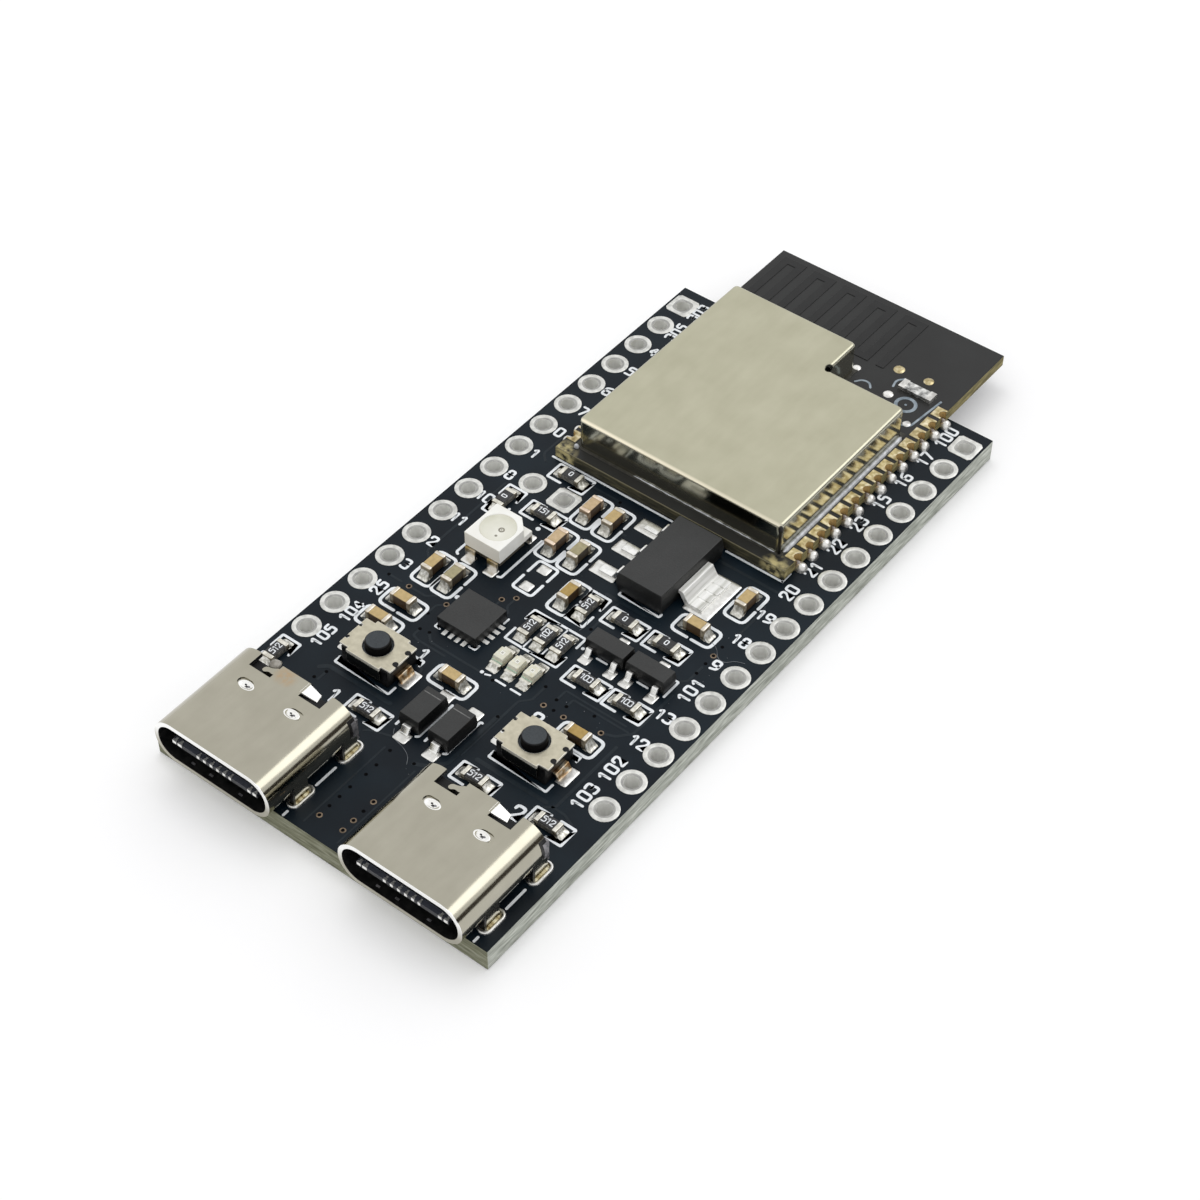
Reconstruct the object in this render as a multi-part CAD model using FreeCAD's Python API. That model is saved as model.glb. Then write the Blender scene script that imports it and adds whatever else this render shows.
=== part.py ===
import FreeCAD, Part
import math
import os

# A wireless development board: a radio module with its own antenna, soldered to a
# carrier board with two sockets, two push buttons, a regulator and small parts.
# All sizes are millimetres. The origin is the centre of the two rows of header holes,
# on the carrier's underside. +X runs across, +Y towards the antenna, +Z up.

# Header rows
pin_pitch = 1.27
hole_pitch = 2 * pin_pitch
holes_per_row = 16
hole_radius = 0.525
land_radius = 0.925
land_sides = 12
land_thickness = 0.04
oval_end_facets = 6

# Carrier board
board_thickness = 1.6
side_margin = 1.07
near_margin = 11.7
far_margin = 1.7

# Radio module board, with half holes along both long edges
module_width = 18.0
module_length = 25.5
module_thickness = 0.8
module_shift = 0.1
module_near_rows = 0.75
row_clearance = 2.43
joint_height = 0.1
pins_per_side = 14
first_pin_inset = 1.55
pin_land_length = 0.75
pin_land_width = 0.95
pin_hole_radius = 0.33
joint_reach = 0.75
joint_rise = 0.55
joint_width = 0.85
ground_pad_side = 4.0

# Shield can, folded from one sheet
can_sheet = 0.2
can_height = 2.35
can_side_inset = 1.1
can_near_inset = 1.0
can_length = 17.1
can_step_length = 13.75
can_step_width = 5.95
can_corner_radius = 0.35
can_bend_radius = 0.25
can_seam = 0.12
can_relief_radius = 0.25
can_land_reach = 0.2

# Antenna track, printed on the module beyond the can
antenna_width = 0.6
antenna_gap = 0.65
antenna_legs = 10
antenna_edge_inset = 0.5
antenna_can_gap = 1.3

# Chips under the can
radio_chip_side = 5.0
radio_chip_height = 0.85
memory_chip_length = 4.0
memory_chip_width = 3.0
memory_chip_height = 0.6
crystal_length = 2.5
crystal_width = 2.0
crystal_height = 0.55
small_chip_length = 1.0
small_chip_width = 0.5
small_chip_height = 0.35
small_chip_spacing = 1.0
small_chips = 6
small_chip_from_near = 3.0
small_chip_from_left = 1.6
small_chip_from_right = 1.9

# Places of the larger ones, as shares of the can's width and length
radio_chip_across = 0.44304
radio_chip_along = 0.43860
memory_chip_across = 0.28481
memory_chip_along = 0.78947
crystal_across = 0.72785
crystal_along = 0.52632

# USB-C sockets
usb_width = 8.94
usb_height = 3.16
usb_depth = 7.35
usb_sheet = 0.3
usb_corner_radius = 1.5
usb_overhang = 0.85
usb_side_inset = 5.45
usb_fit = 0.03
usb_tab_width = 1.1
usb_tab_depth = 1.3
usb_tab_front = 2.57
usb_tab_rear = 6.75
usb_slot_play = 0.15
usb_notch_width = 1.65
usb_notch_depth = 1.13
usb_notch_offset = 1.93
usb_dimple_length = 1.1
usb_dimple_width = 0.65
usb_dimple_depth = 0.12
usb_dimple_inset = 2.3
usb_tongue_width = 6.69
usb_tongue_thickness = 0.6
usb_tongue_inset = 0.6
usb_block_depth = 2.4
usb_plate_thickness = 0.14
usb_plate_reach = 0.12
usb_contact_width = 0.25
usb_contact_height = 0.05
usb_contact_pitch = 0.5
usb_contact_columns = [-5.5, -2.5, -1.5, -0.5, 0.5, 1.5, 2.5, 5.5]
usb_tails = 12
usb_collar_width = 1.0
usb_collar_length = 2.0
usb_collar_height = 0.35
usb_collar_taper = 0.6
usb_tail_length = 0.55
usb_tail_thickness = 0.15
usb_tail_rise = 0.64

# Push buttons
button_length = 4.0
button_width = 2.9
button_height = 1.5
button_plate = 0.15
button_travel = 0.25
button_running_gap = 0.02
plunger_radius = 0.8
plunger_rise = 0.5
plunger_play = 0.15
plunger_flange = 0.2
plunger_flange_height = 0.25
plunger_nub_radius = 0.4
plunger_nub_height = 0.15
plunger_bevel = 0.1
button_well_play = 0.1
dome_thickness = 0.05
dome_height = button_travel + dome_thickness
button_clip_rise = 0.4
button_terminal_width = 1.2
button_terminal_reach = 2.25
button_land_reach = 2.8
button_land_width = 1.45
button_clip_length = 2.6
button_notch = 0.2
button_ear_inset = 0.225
button_terminal_level = 0.45

# Voltage regulator
regulator_width = 3.5
regulator_length = 6.5
regulator_top = 1.65
regulator_level = 0.85
regulator_sheet = 0.26
regulator_lead_width = 0.72
regulator_lead_pitch = 2.3
regulator_tab_width = 3.1
regulator_reach = 3.55
regulator_land_reach = 4.2
regulator_land_width = 1.15
regulator_tab_land_width = 3.7
regulator_ribs = 3
regulator_rib_groove = 0.08
regulator_rib_start = 2.6

# Bridge chip, a flat package without leads
bridge_side = 3.0
bridge_height = 0.75
bridge_pins_per_side = 4
bridge_pin_pitch = 0.5
bridge_pin_width = 0.28
bridge_pin_start = 1.2
bridge_pin_end = 1.9

# Three-colour lamp
lamp_width = 2.8
lamp_length = 3.2
lamp_height = 1.9
lamp_bowl_radius = 1.2
lamp_floor_radius = 0.85
lamp_bowl_depth = 0.9
lamp_lens_drop = 0.05
lamp_cut = 0.8
lamp_cut_depth = 0.7
lamp_lead_width = 0.8
lamp_lead_thickness = 0.15
lamp_lead_height = 0.8
lamp_lead_offset = 0.88
lamp_land_reach = 0.65
lamp_die_side = 0.3
lamp_die_height = 0.15
lamp_die_spacing = 0.42

# Diodes and transistors
draft_angle = 7.0
diode_length = 2.7
diode_width = 1.6
diode_top = 1.15
diode_level = 0.5
diode_lead_width = 0.6
diode_reach = 1.85
diode_land_reach = 2.35
diode_land_width = 0.95
transistor_length = 2.9
transistor_width = 1.3
transistor_top = 1.1
transistor_level = 0.55
transistor_lead_width = 0.4
transistor_lead_pitch = 1.9
transistor_reach = 1.2
transistor_land_reach = 1.6
transistor_land_width = 0.72
lead_sheet = 0.15
lead_slope = 1.5

# Chip capacitors, chip resistors and indicator lamps, all in one case size
chip_length = 1.6
chip_width = 0.8
terminal_length = 0.3
capacitor_height = 0.8
capacitor_skin = 0.03
resistor_height = 0.45
glaze_thickness = 0.06
indicator_base = 0.25
indicator_height = 0.6
chip_land_reach = 0.42
capacitor_fillet = 0.4
resistor_fillet = 0.25

# Placement steps: the small parts stand on a grid that goes with the header rows
row_spacing = module_width + 2 * row_clearance
step_x = row_spacing / 90
step_y = hole_pitch / 10

# Places of the small parts, in steps across and along from the origin
upright_capacitors = [
    (-15.4, -2.8), (-8.5, -2.8), (-15.2, -16.9), (-8.3, -16.9),
    (33.3, -4.5), (-1.6, -29.1), (-33.5, -41.9), (-27.2, -41.9),
]
level_capacitors = [(28.9, -18.7), (-31.5, -55.3), (-32.3, -63.3), (-6.2, -67.1), (27.8, -62.8)]
upright_resistors = [
    (-35.0, -13.0), (4.1, -29.1), (-2.5, -43.0), (2.4, -43.0), (7.3, -43.0), (-44.7, -86.0),
]
level_resistors = [
    (-26.8, 3.5), (-24.0, -11.0), (14.2, -27.5), (26.6, -27.5), (18.6, -48.0),
    (30.5, -48.0), (-15.6, -86.4), (16.9, -86.4), (38.2, -86.4),
]
indicator_places = [(-1.5, -54.4), (3.0, -54.4), (7.5, -54.4)]
empty_footprint = (-12.1, -29.0)
spare_header = [(-33.5, -3.6), (-23.5, -3.6)]
regulator_place = (12.6, -7.5)
bridge_place = (-14.8, -49.6)
lamp_place = (-25.5, -26.7)
diode_places = [(-4.4, -79.3), (4.3, -79.3)]
transistor_places = [(17.5, -37.6), (29.5, -37.6)]
button_places = [(-23.8, -72.8), (23.2, -72.8)]

# Edges and levels that follow from the sizes above
row_x = row_spacing / 2
half_width = row_x + side_margin
row_half_length = (holes_per_row - 1) * hole_pitch / 2
near_edge = -row_half_length - near_margin
far_edge = row_half_length + far_margin
top = board_thickness
module_left = module_shift - module_width / 2
module_right = module_shift + module_width / 2
module_near = module_near_rows * hole_pitch
module_far = module_near + module_length
module_bottom = top + joint_height
module_top = module_bottom + module_thickness
can_bottom = module_top + land_thickness
can_top = can_bottom + can_height
can_left = module_left + can_side_inset
can_right = module_right - can_side_inset
can_near = module_near + can_near_inset
can_far = can_near + can_length
usb_front = near_edge - usb_overhang
usb_places = [-half_width + usb_side_inset, half_width - usb_side_inset]
usb_tab_x = usb_width / 2 - usb_sheet / 2
usb_tab_ys = [usb_tab_front, usb_tab_rear]


# Shapes that several pieces share

def block(x0, x1, y0, y1, z0, z1):
    """A straight-sided block between two corners."""
    return Part.makeBox(x1 - x0, y1 - y0, z1 - z0, FreeCAD.Vector(x0, y0, z0))


def slab(width, length, z0, z1):
    """A block centred on the vertical axis."""
    return block(-width / 2, width / 2, -length / 2, length / 2, z0, z1)


def disc(radius, z0, z1, x=0.0, y=0.0):
    """An upright round bar."""
    return Part.makeCylinder(radius, z1 - z0, FreeCAD.Vector(x, y, z0))


def extruded(corners, path):
    """A solid whose section is the closed line through the corners."""
    face = Part.Face(Part.makePolygon(corners + corners[:1]))
    return face.extrude(path)


def plate(points, z0, z1):
    """A flat plate with the given outline in plan."""
    corners = [FreeCAD.Vector(x, y, z0) for x, y in points]
    return extruded(corners, FreeCAD.Vector(0, 0, z1 - z0))


def strip(points, width):
    """A strip bent along X: its side view is the outline, its width lies along Y."""
    corners = [FreeCAD.Vector(x, -width / 2, z) for x, z in points]
    return extruded(corners, FreeCAD.Vector(0, width, 0))


def oval(width, length, z0, z1):
    """An upright slot shape with faceted round ends, its long way along Y."""
    radius = width / 2
    reach = length / 2 - radius
    turns = [math.pi * k / oval_end_facets for k in range(oval_end_facets + 1)]
    far_end = [(radius * math.cos(a), reach + radius * math.sin(a)) for a in turns]
    near_end = [(-x, -y) for x, y in far_end]
    return plate(far_end + near_end, z0, z1)


def put(shape, x, y, z=0.0, turn=0.0):
    """A copy of a shape, turned about its own upright axis and set in place."""
    moved = shape.copy()
    moved.rotate(FreeCAD.Vector(0, 0, 0), FreeCAD.Vector(0, 0, 1), turn)
    moved.translate(FreeCAD.Vector(x, y, z))
    return moved


def spot(place):
    """The point of a place given in steps."""
    column, row = place
    return column * step_x, row * step_y


def seated(shapes, place, turn=0.0):
    """Copies of a part's shapes, standing on the carrier board at a place."""
    x, y = spot(place)
    return [put(shape, x, y, top, turn) for shape in shapes]


def edges_along(shape, direction):
    """The straight edges of a shape that run along a direction."""
    found = []
    for edge in shape.Edges:
        run = edge.Vertexes[-1].Point.sub(edge.Vertexes[0].Point)
        if run.Length > 0 and run.cross(direction).Length < 1e-6 * run.Length:
            found.append(edge)
    return found


def mirrored_pair(shape):
    """A shape that stands on +X and its mirror image on -X."""
    origin = FreeCAD.Vector(0, 0, 0)
    return [shape, shape.mirror(origin, FreeCAD.Vector(1, 0, 0))]


def moulded_body(length, width, level, height):
    """A moulded case that is widest at the level of its leads, with its long way along Y."""
    slope = math.tan(math.radians(draft_angle))
    sections = []
    for z in (land_thickness, level, height):
        inset = abs(z - level) * slope
        x = width / 2 - inset
        y = length / 2 - inset
        corners = [FreeCAD.Vector(*c, z) for c in ((x, y), (-x, y), (-x, -y), (x, -y))]
        sections.append(Part.makePolygon(corners + corners[:1]))
    return Part.makeLoft(sections, True, True)


def bent_lead(start, reach, level, sheet, width):
    """A lead that leaves a case along +X at a level and bends down to a foot on its land."""
    low = land_thickness
    shoulder = start + sheet
    drop = shoulder + lead_slope * sheet
    outline = [
        (start, level + sheet / 2),
        (shoulder + sheet / 2, level + sheet / 2),
        (drop + sheet / 2, low + sheet),
        (reach, low + sheet),
        (reach, low),
        (drop - sheet / 2, low),
        (shoulder - sheet / 2, level - sheet / 2),
        (start, level - sheet / 2),
    ]
    return strip(outline, width)


# Carrier board and its plated lands

def header_holes():
    """The centres of the header holes, right row first, from the far end."""
    found = []
    for x in (row_x, -row_x):
        for k in range(holes_per_row):
            found.append((x, row_half_length - k * hole_pitch))
    return found


def usb_slots():
    """The slots that take the tabs of both sockets."""
    slot = oval(usb_sheet + 2 * usb_slot_play, usb_tab_width + 2 * usb_slot_play, 0, top)
    found = []
    for centre in usb_places:
        for side in (-usb_tab_x, usb_tab_x):
            for y in usb_tab_ys:
                found.append(put(slot, centre + side, usb_front + y))
    return found


def main_board():
    board = block(-half_width, half_width, near_edge, far_edge, 0, top)
    places = header_holes() + [spot(place) for place in spare_header]
    holes = [disc(hole_radius, 0, top, x, y) for x, y in places]
    return board.cut(holes + usb_slots())


def ring_points(radius, sides):
    """The corners of a regular ring whose flats touch a circle."""
    corner = radius / math.cos(math.pi / sides)
    angles = [2 * math.pi * (k + 0.5) / sides for k in range(sides)]
    return [(corner * math.cos(a), corner * math.sin(a)) for a in angles]


def pierced_land(square):
    """A land round a plated hole. The first pin of a row has a square one."""
    low, high = top, top + land_thickness
    if square:
        land = slab(2 * land_radius, 2 * land_radius, low, high)
    else:
        land = plate(ring_points(land_radius, land_sides), low, high)
    return land.cut(plate(ring_points(hole_radius, land_sides), low, high))


def header_lands():
    first_y = row_half_length
    return [put(pierced_land(y == first_y), x, y) for x, y in header_holes()]


def spare_lands():
    round_one, square_one = [spot(place) for place in spare_header]
    return [put(pierced_land(False), *round_one), put(pierced_land(True), *square_one)]


# Radio module

def pin_ys():
    return [module_near + first_pin_inset + k * pin_pitch for k in range(pins_per_side)]


def module_board():
    board = block(module_left, module_right, module_near, module_far, module_bottom, module_top)
    bite = plate(ring_points(pin_hole_radius, land_sides), module_bottom, module_top)
    bites = [put(bite, x, y) for x in (module_left, module_right) for y in pin_ys()]
    return board.cut(bites)


def module_pin_lands():
    """Gold lands on the module's top face, each bitten by its half hole."""
    low, high = module_top, module_top + land_thickness
    land = block(-pin_land_length, 0, -pin_land_width / 2, pin_land_width / 2, low, high)
    land = land.cut(plate(ring_points(pin_hole_radius, land_sides), low, high))
    found = []
    for y in pin_ys():
        found.append(put(land, module_right, y))
        found.append(put(land, module_left, y, 0, 180))
    return found


def module_joints():
    """Solder under each pin land, climbing the module's edge, and the ground joint."""
    outline = [
        (-pin_land_length, 0),
        (joint_reach, 0),
        (joint_reach, land_thickness),
        (0, joint_height + joint_rise),
        (0, joint_height),
        (-pin_land_length, joint_height),
    ]
    joint = strip(outline, joint_width)
    found = []
    for y in pin_ys():
        found.append(put(joint, module_right, y, top))
        found.append(put(joint, module_left, y, top, 180))
    ground = slab(ground_pad_side, ground_pad_side, top, module_bottom)
    found.append(put(ground, module_shift, can_near + can_step_length / 2))
    return found


def can_outline(grow):
    """The can's plan, an oblong with its far right corner stepped back, grown all round."""
    left = can_left - grow
    right = can_right + grow
    near = can_near - grow
    far = can_far + grow
    step_far = can_near + can_step_length + grow
    step_left = can_right - can_step_width + grow
    return [(left, near), (right, near), (right, step_far),
            (step_left, step_far), (step_left, far), (left, far)]


def shield_can():
    """One sheet: a flat top whose edges fold down into walls, with open seams at the corners."""
    outer = plate(can_outline(0), can_bottom, can_top)
    upright = FreeCAD.Vector(0, 0, 1)
    outer = outer.makeFillet(can_corner_radius, edges_along(outer, upright))
    rim = [e for e in outer.Edges if e.BoundBox.ZMin > can_top - 1e-6]
    outer = outer.makeFillet(can_bend_radius, rim)
    can = outer.cut(plate(can_outline(-can_sheet), can_bottom, can_top - can_sheet))
    reach = can_corner_radius + 2 * can_sheet
    seam_top = can_top - can_sheet - can_bend_radius
    seam = block(-reach, reach, -can_seam / 2, can_seam / 2, can_bottom, seam_top)
    corners = can_outline(0)
    inner_corner = corners[3]
    cuts = [disc(can_relief_radius, can_bottom, can_top, *inner_corner)]
    for (x, y), turn in zip(corners[:3] + corners[4:], (45, -45, 45, 45, -45)):
        cuts.append(put(seam, x, y, 0, turn))
    return can.cut(cuts)


def can_land():
    """The tinned line on the module that the can's walls stand on."""
    outer = plate(can_outline(can_land_reach), module_top, can_bottom)
    return outer.cut(plate(can_outline(-can_sheet - can_land_reach), module_top, can_bottom))


def antenna_track():
    """A folded track: legs along Y joined by turns at alternate ends."""
    low, high = module_top, module_top + land_thickness
    near = can_far + antenna_can_gap
    far = module_far - antenna_edge_inset
    pitch = antenna_width + antenna_gap
    start = module_left + antenna_edge_inset
    track = None
    for k in range(antenna_legs):
        x = start + k * pitch
        leg = block(x, x + antenna_width, near, far, low, high)
        track = leg if track is None else track.fuse(leg)
        if k == antenna_legs - 1:
            break
        y = far - antenna_width if k % 2 == 0 else near
        turn = block(x, x + pitch + antenna_width, y, y + antenna_width, low, high)
        track = track.fuse(turn)
    return track.removeSplitter()


def under_can(width, length, height, x, y):
    """A chip on the module's face, in the space that the can covers."""
    return put(slab(width, length, module_top, module_top + height), x, y)


def inside_can(width, length, height, across, along):
    """A chip placed by its share of the can's width and length."""
    x = can_left + across * (can_right - can_left)
    y = can_near + along * (can_far - can_near)
    return under_can(width, length, height, x, y)


def radio_chip():
    return inside_can(radio_chip_side, radio_chip_side, radio_chip_height,
                      radio_chip_across, radio_chip_along)


def memory_chip():
    return inside_can(memory_chip_width, memory_chip_length, memory_chip_height,
                      memory_chip_across, memory_chip_along)


def module_crystal():
    return inside_can(crystal_width, crystal_length, crystal_height,
                      crystal_across, crystal_along)


def module_small_chips():
    found = []
    for x in (can_left + small_chip_from_left, can_right - small_chip_from_right):
        for k in range(small_chips):
            y = can_near + small_chip_from_near + k * small_chip_spacing
            found.append(under_can(small_chip_length, small_chip_width, small_chip_height, x, y))
    return found


# USB-C sockets, modelled with the front face at y = 0 and the carrier's top at z = 0

usb_low = land_thickness
usb_high = usb_low + usb_height
usb_middle = (usb_low + usb_high) / 2
usb_block_end = usb_depth - usb_sheet - usb_fit
usb_block_start = usb_block_end - usb_block_depth


def rounded_bar(inset, y0, y1):
    """A bar with the socket's section, drawn in from the shell's outer face."""
    half = usb_width / 2 - inset
    bar = block(-half, half, y0, y1, usb_low + inset, usb_high - inset)
    along = edges_along(bar, FreeCAD.Vector(0, 1, 0))
    return bar.makeFillet(usb_corner_radius - inset, along)


def usb_tab(y):
    """A leg of the shell: from the side wall down into its slot."""
    outer = usb_width / 2
    near = y - usb_tab_width / 2
    return block(outer - usb_sheet, outer, near, near + usb_tab_width, -usb_tab_depth, usb_middle)


def usb_shell():
    """The folded steel shell with its four legs, rear notches and spring dimples."""
    shell = rounded_bar(0, 0, usb_depth)
    for y in usb_tab_ys:
        shell = shell.fuse(mirrored_pair(usb_tab(y)))
    notch_start = usb_depth - usb_notch_depth
    cover_half = usb_notch_offset - usb_notch_width / 2
    cover = block(-cover_half, cover_half, usb_depth - usb_sheet, usb_depth, usb_middle, usb_high)
    cuts = [rounded_bar(usb_sheet, 0, usb_depth)]
    for x in (-usb_notch_offset, usb_notch_offset):
        notch = slab(usb_notch_width, 2 * usb_notch_depth, usb_middle, usb_high)
        cuts.append(put(notch, x, usb_depth))
        dimple = oval(usb_dimple_width, usb_dimple_length, usb_high - usb_dimple_depth, usb_high)
        cuts.append(put(dimple, x, usb_depth - usb_dimple_inset, 0, 90))
    floor_half = usb_tab_x - usb_corner_radius / 2
    cuts.append(block(-floor_half, floor_half, notch_start, usb_depth, usb_low, usb_middle / 2))
    return shell.cut(cuts).fuse(cover).removeSplitter()


def usb_tongue(width, thickness, start):
    low = usb_middle - thickness / 2
    return block(-width / 2, width / 2, start, usb_block_start, low, low + thickness)


def usb_insulator():
    """The moulded block at the back of the shell and the tongue that stands out of it."""
    body = rounded_bar(usb_sheet + usb_fit, usb_block_start, usb_block_end)
    body = body.fuse(usb_tongue(usb_tongue_width, usb_tongue_thickness, usb_tongue_inset))
    return body.cut(usb_plate())


def usb_plate():
    """The steel plate in the middle of the tongue, proud of its two sides."""
    width = usb_tongue_width + 2 * usb_plate_reach
    return usb_tongue(width, usb_plate_thickness, usb_tongue_inset + usb_plate_reach)


def usb_contacts():
    """Eight flat contacts on each face of the tongue, and twelve tails at the back."""
    start = usb_tongue_inset + 2 * usb_contact_width
    found = []
    for column in usb_contact_columns:
        x = column * usb_contact_pitch
        for face in (-1, 1):
            level = usb_middle + face * (usb_tongue_thickness + usb_contact_height) / 2
            low = level - usb_contact_height / 2
            contact = block(
                x - usb_contact_width / 2, x + usb_contact_width / 2,
                start, usb_block_start, low, low + usb_contact_height,
            )
            found.append(contact)
    for k in range(usb_tails):
        x = (k - (usb_tails - 1) / 2) * usb_contact_pitch
        tail = block(
            x - usb_contact_width / 2, x + usb_contact_width / 2,
            usb_block_end, usb_block_end + usb_tail_length, 0, usb_tail_thickness,
        )
        riser = block(
            x - usb_contact_width / 2, x + usb_contact_width / 2,
            usb_block_end, usb_block_end + usb_tail_thickness, 0, usb_tail_rise,
        )
        found.append(tail.fuse(riser).removeSplitter())
    return found


def usb_collar():
    """Solder that has crept up round a tab, over the mouth of its slot."""
    wires = []
    for z, share in ((0, 1.0), (usb_collar_height, usb_collar_taper)):
        x = share * usb_collar_width / 2
        y = share * usb_collar_length / 2
        bevel = x / 2
        quarter = [(x, y - bevel), (x - bevel, y)]
        outline = quarter + [(-px, py) for px, py in reversed(quarter)]
        outline += [(-px, -py) for px, py in outline]
        corners = [FreeCAD.Vector(px, py, z) for px, py in outline]
        wires.append(Part.makePolygon(corners + corners[:1]))
    mound = Part.makeLoft(wires, True, True)
    return mound.cut(slab(usb_sheet, usb_tab_width, 0, usb_collar_height))


def usb_collars():
    found = []
    for centre in usb_places:
        for side in (-usb_tab_x, usb_tab_x):
            for y in usb_tab_ys:
                found.append(put(usb_collar(), centre + side, usb_front + y, top))
    return found


# Push buttons, modelled about their own centre with the carrier's top at z = 0

frame_low = button_height - button_plate
flange_radius = plunger_radius + plunger_flange
well_radius = flange_radius + button_well_play
base_half_width = button_width / 2 - button_plate
flange_top = frame_low - button_running_gap
flange_bottom = flange_top - plunger_flange_height
nub_bottom = flange_bottom - plunger_nub_height
dome_top = nub_bottom - button_running_gap
dome_bottom = dome_top - dome_height


def button_base():
    """The moulded base with its round well."""
    length = button_length - 2 * button_notch
    base = slab(length, 2 * base_half_width, land_thickness, frame_low)
    return base.cut(disc(well_radius, dome_bottom, frame_low))


def button_frame():
    """The stamped cover plate, clipped down over the front and back of the base."""
    half_length = button_length / 2
    half_width_y = button_width / 2
    ear = half_width_y - button_ear_inset
    cover = slab(2 * half_length, 2 * ear, frame_low, button_height)
    waist = slab(button_clip_length, button_width, frame_low, button_height)
    cover = cover.fuse(waist)
    clip_low = land_thickness + button_clip_rise
    for side in (-1, 1):
        outer = side * half_width_y
        inner = side * base_half_width
        near, far = min(outer, inner), max(outer, inner)
        half_clip = button_clip_length / 2
        cover = cover.fuse(block(-half_clip, half_clip, near, far, clip_low, frame_low))
        for y in (-ear / 2, ear / 2):
            bite = slab(2 * button_notch, button_notch, frame_low, button_height)
            cover = cover.cut(put(bite, side * half_length, y))
    hole = disc(plunger_radius + plunger_play, frame_low, button_height)
    return cover.cut(hole).removeSplitter()


def button_plunger():
    """The moulded plunger: stem, flange under the cover and a nub over the dome."""
    stem_top = button_height + plunger_rise
    profile = [
        (0, nub_bottom), (plunger_nub_radius, nub_bottom), (plunger_nub_radius, flange_bottom),
        (flange_radius, flange_bottom), (flange_radius, flange_top), (plunger_radius, flange_top),
        (plunger_radius, stem_top - plunger_bevel), (plunger_radius - plunger_bevel, stem_top),
        (0, stem_top),
    ]
    corners = [FreeCAD.Vector(x, 0, z) for x, z in profile]
    face = Part.Face(Part.makePolygon(corners + corners[:1]))
    return face.revolve(FreeCAD.Vector(0, 0, 0), FreeCAD.Vector(0, 0, 1), 360)


def button_dome():
    """The sprung snap dome on the floor of the well."""
    rim = well_radius - 2 * button_running_gap
    outer = (rim ** 2 + dome_height ** 2) / (2 * dome_height)
    centre = FreeCAD.Vector(0, 0, dome_top - outer)
    shell = Part.makeSphere(outer, centre).cut(Part.makeSphere(outer - dome_thickness, centre))
    return shell.common(disc(well_radius, dome_bottom, frame_low))


def button_terminals():
    """A flat terminal on each side, bent down to the board."""
    start = button_length / 2 - button_notch
    return mirrored_pair(bent_lead(start, button_terminal_reach, button_terminal_level,
                                   lead_sheet, button_terminal_width))


# Parts on the carrier board, each modelled about its own centre

def regulator_body():
    return moulded_body(regulator_length, regulator_width, regulator_level, regulator_top)


def regulator_leads():
    lead = bent_lead(regulator_width / 2, regulator_reach, regulator_level, regulator_sheet,
                     regulator_lead_width)
    ys = [k * regulator_lead_pitch for k in (-1, 0, 1)]
    return [put(lead, 0, y, 0, 180) for y in ys]


def regulator_tab():
    """The wide cooling tab opposite the leads, with shallow grooves pressed along it."""
    tab = bent_lead(regulator_width / 2, regulator_reach, regulator_level, regulator_sheet,
                    regulator_tab_width)
    spacing = regulator_tab_width / (regulator_ribs + 1)
    foot_top = land_thickness + regulator_sheet
    start = regulator_rib_start
    grooves = []
    for k in range(regulator_ribs):
        y = (k - (regulator_ribs - 1) / 2) * spacing
        groove = block(start, regulator_reach, -regulator_rib_groove, regulator_rib_groove,
                       foot_top - regulator_rib_groove, foot_top)
        grooves.append(put(groove, 0, y))
    return tab.cut(grooves)


def bridge_chip_body():
    return slab(bridge_side, bridge_side, land_thickness, land_thickness + bridge_height)


def bridge_chip_lands():
    """Lands under the flat package, reaching out past its four sides."""
    low, high = 0, land_thickness
    land = block(bridge_pin_start, bridge_pin_end, -bridge_pin_width / 2, bridge_pin_width / 2,
                 low, high)
    found = []
    for k in range(bridge_pins_per_side):
        y = (k - (bridge_pins_per_side - 1) / 2) * bridge_pin_pitch
        shifted = put(land, 0, y)
        found += [put(shifted, 0, 0, 0, turn) for turn in (0, 90, 180, 270)]
    return found


def lamp_bowl(depth, drop):
    """The cone that the housing is hollowed by, and the lens fills."""
    rim = lamp_height - drop
    floor = lamp_height - depth
    slope = (lamp_bowl_radius - lamp_floor_radius) / depth
    return Part.makeCone(lamp_floor_radius, lamp_floor_radius + slope * (rim - floor), rim - floor,
                         FreeCAD.Vector(0, 0, floor))


def lamp_housing():
    body = slab(lamp_width, lamp_length, land_thickness, lamp_height)
    corner_x = lamp_width / 2
    corner_y = lamp_length / 2
    mark = plate([(corner_x - lamp_cut, corner_y), (corner_x, corner_y - lamp_cut),
                  (corner_x, corner_y)], lamp_height - lamp_cut_depth, lamp_height)
    return body.cut([lamp_bowl(lamp_bowl_depth, 0), mark])


def lamp_dies():
    """The three light-giving chips on the floor of the bowl."""
    floor = lamp_height - lamp_bowl_depth
    die = slab(lamp_die_side, lamp_die_side, floor, floor + lamp_die_height)
    return [put(die, 0, k * lamp_die_spacing) for k in (-1, 0, 1)]


def lamp_lens():
    return lamp_bowl(lamp_bowl_depth, lamp_lens_drop).cut(lamp_dies())


def lamp_leads():
    half = lamp_length / 2
    lead = block(-lamp_lead_width / 2, lamp_lead_width / 2, half, half + lamp_lead_thickness,
                 land_thickness, lamp_lead_height)
    found = []
    for x in (-lamp_lead_offset, lamp_lead_offset):
        shifted = put(lead, x, 0)
        found += [shifted, put(shifted, 0, 0, 0, 180)]
    return found


def diode_body():
    return moulded_body(diode_length, diode_width, diode_level, diode_top)


def diode_leads():
    lead = bent_lead(diode_length / 2, diode_reach, diode_level, lead_sheet, diode_lead_width)
    return [put(lead, 0, 0, 0, turn) for turn in (90, 270)]


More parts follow.
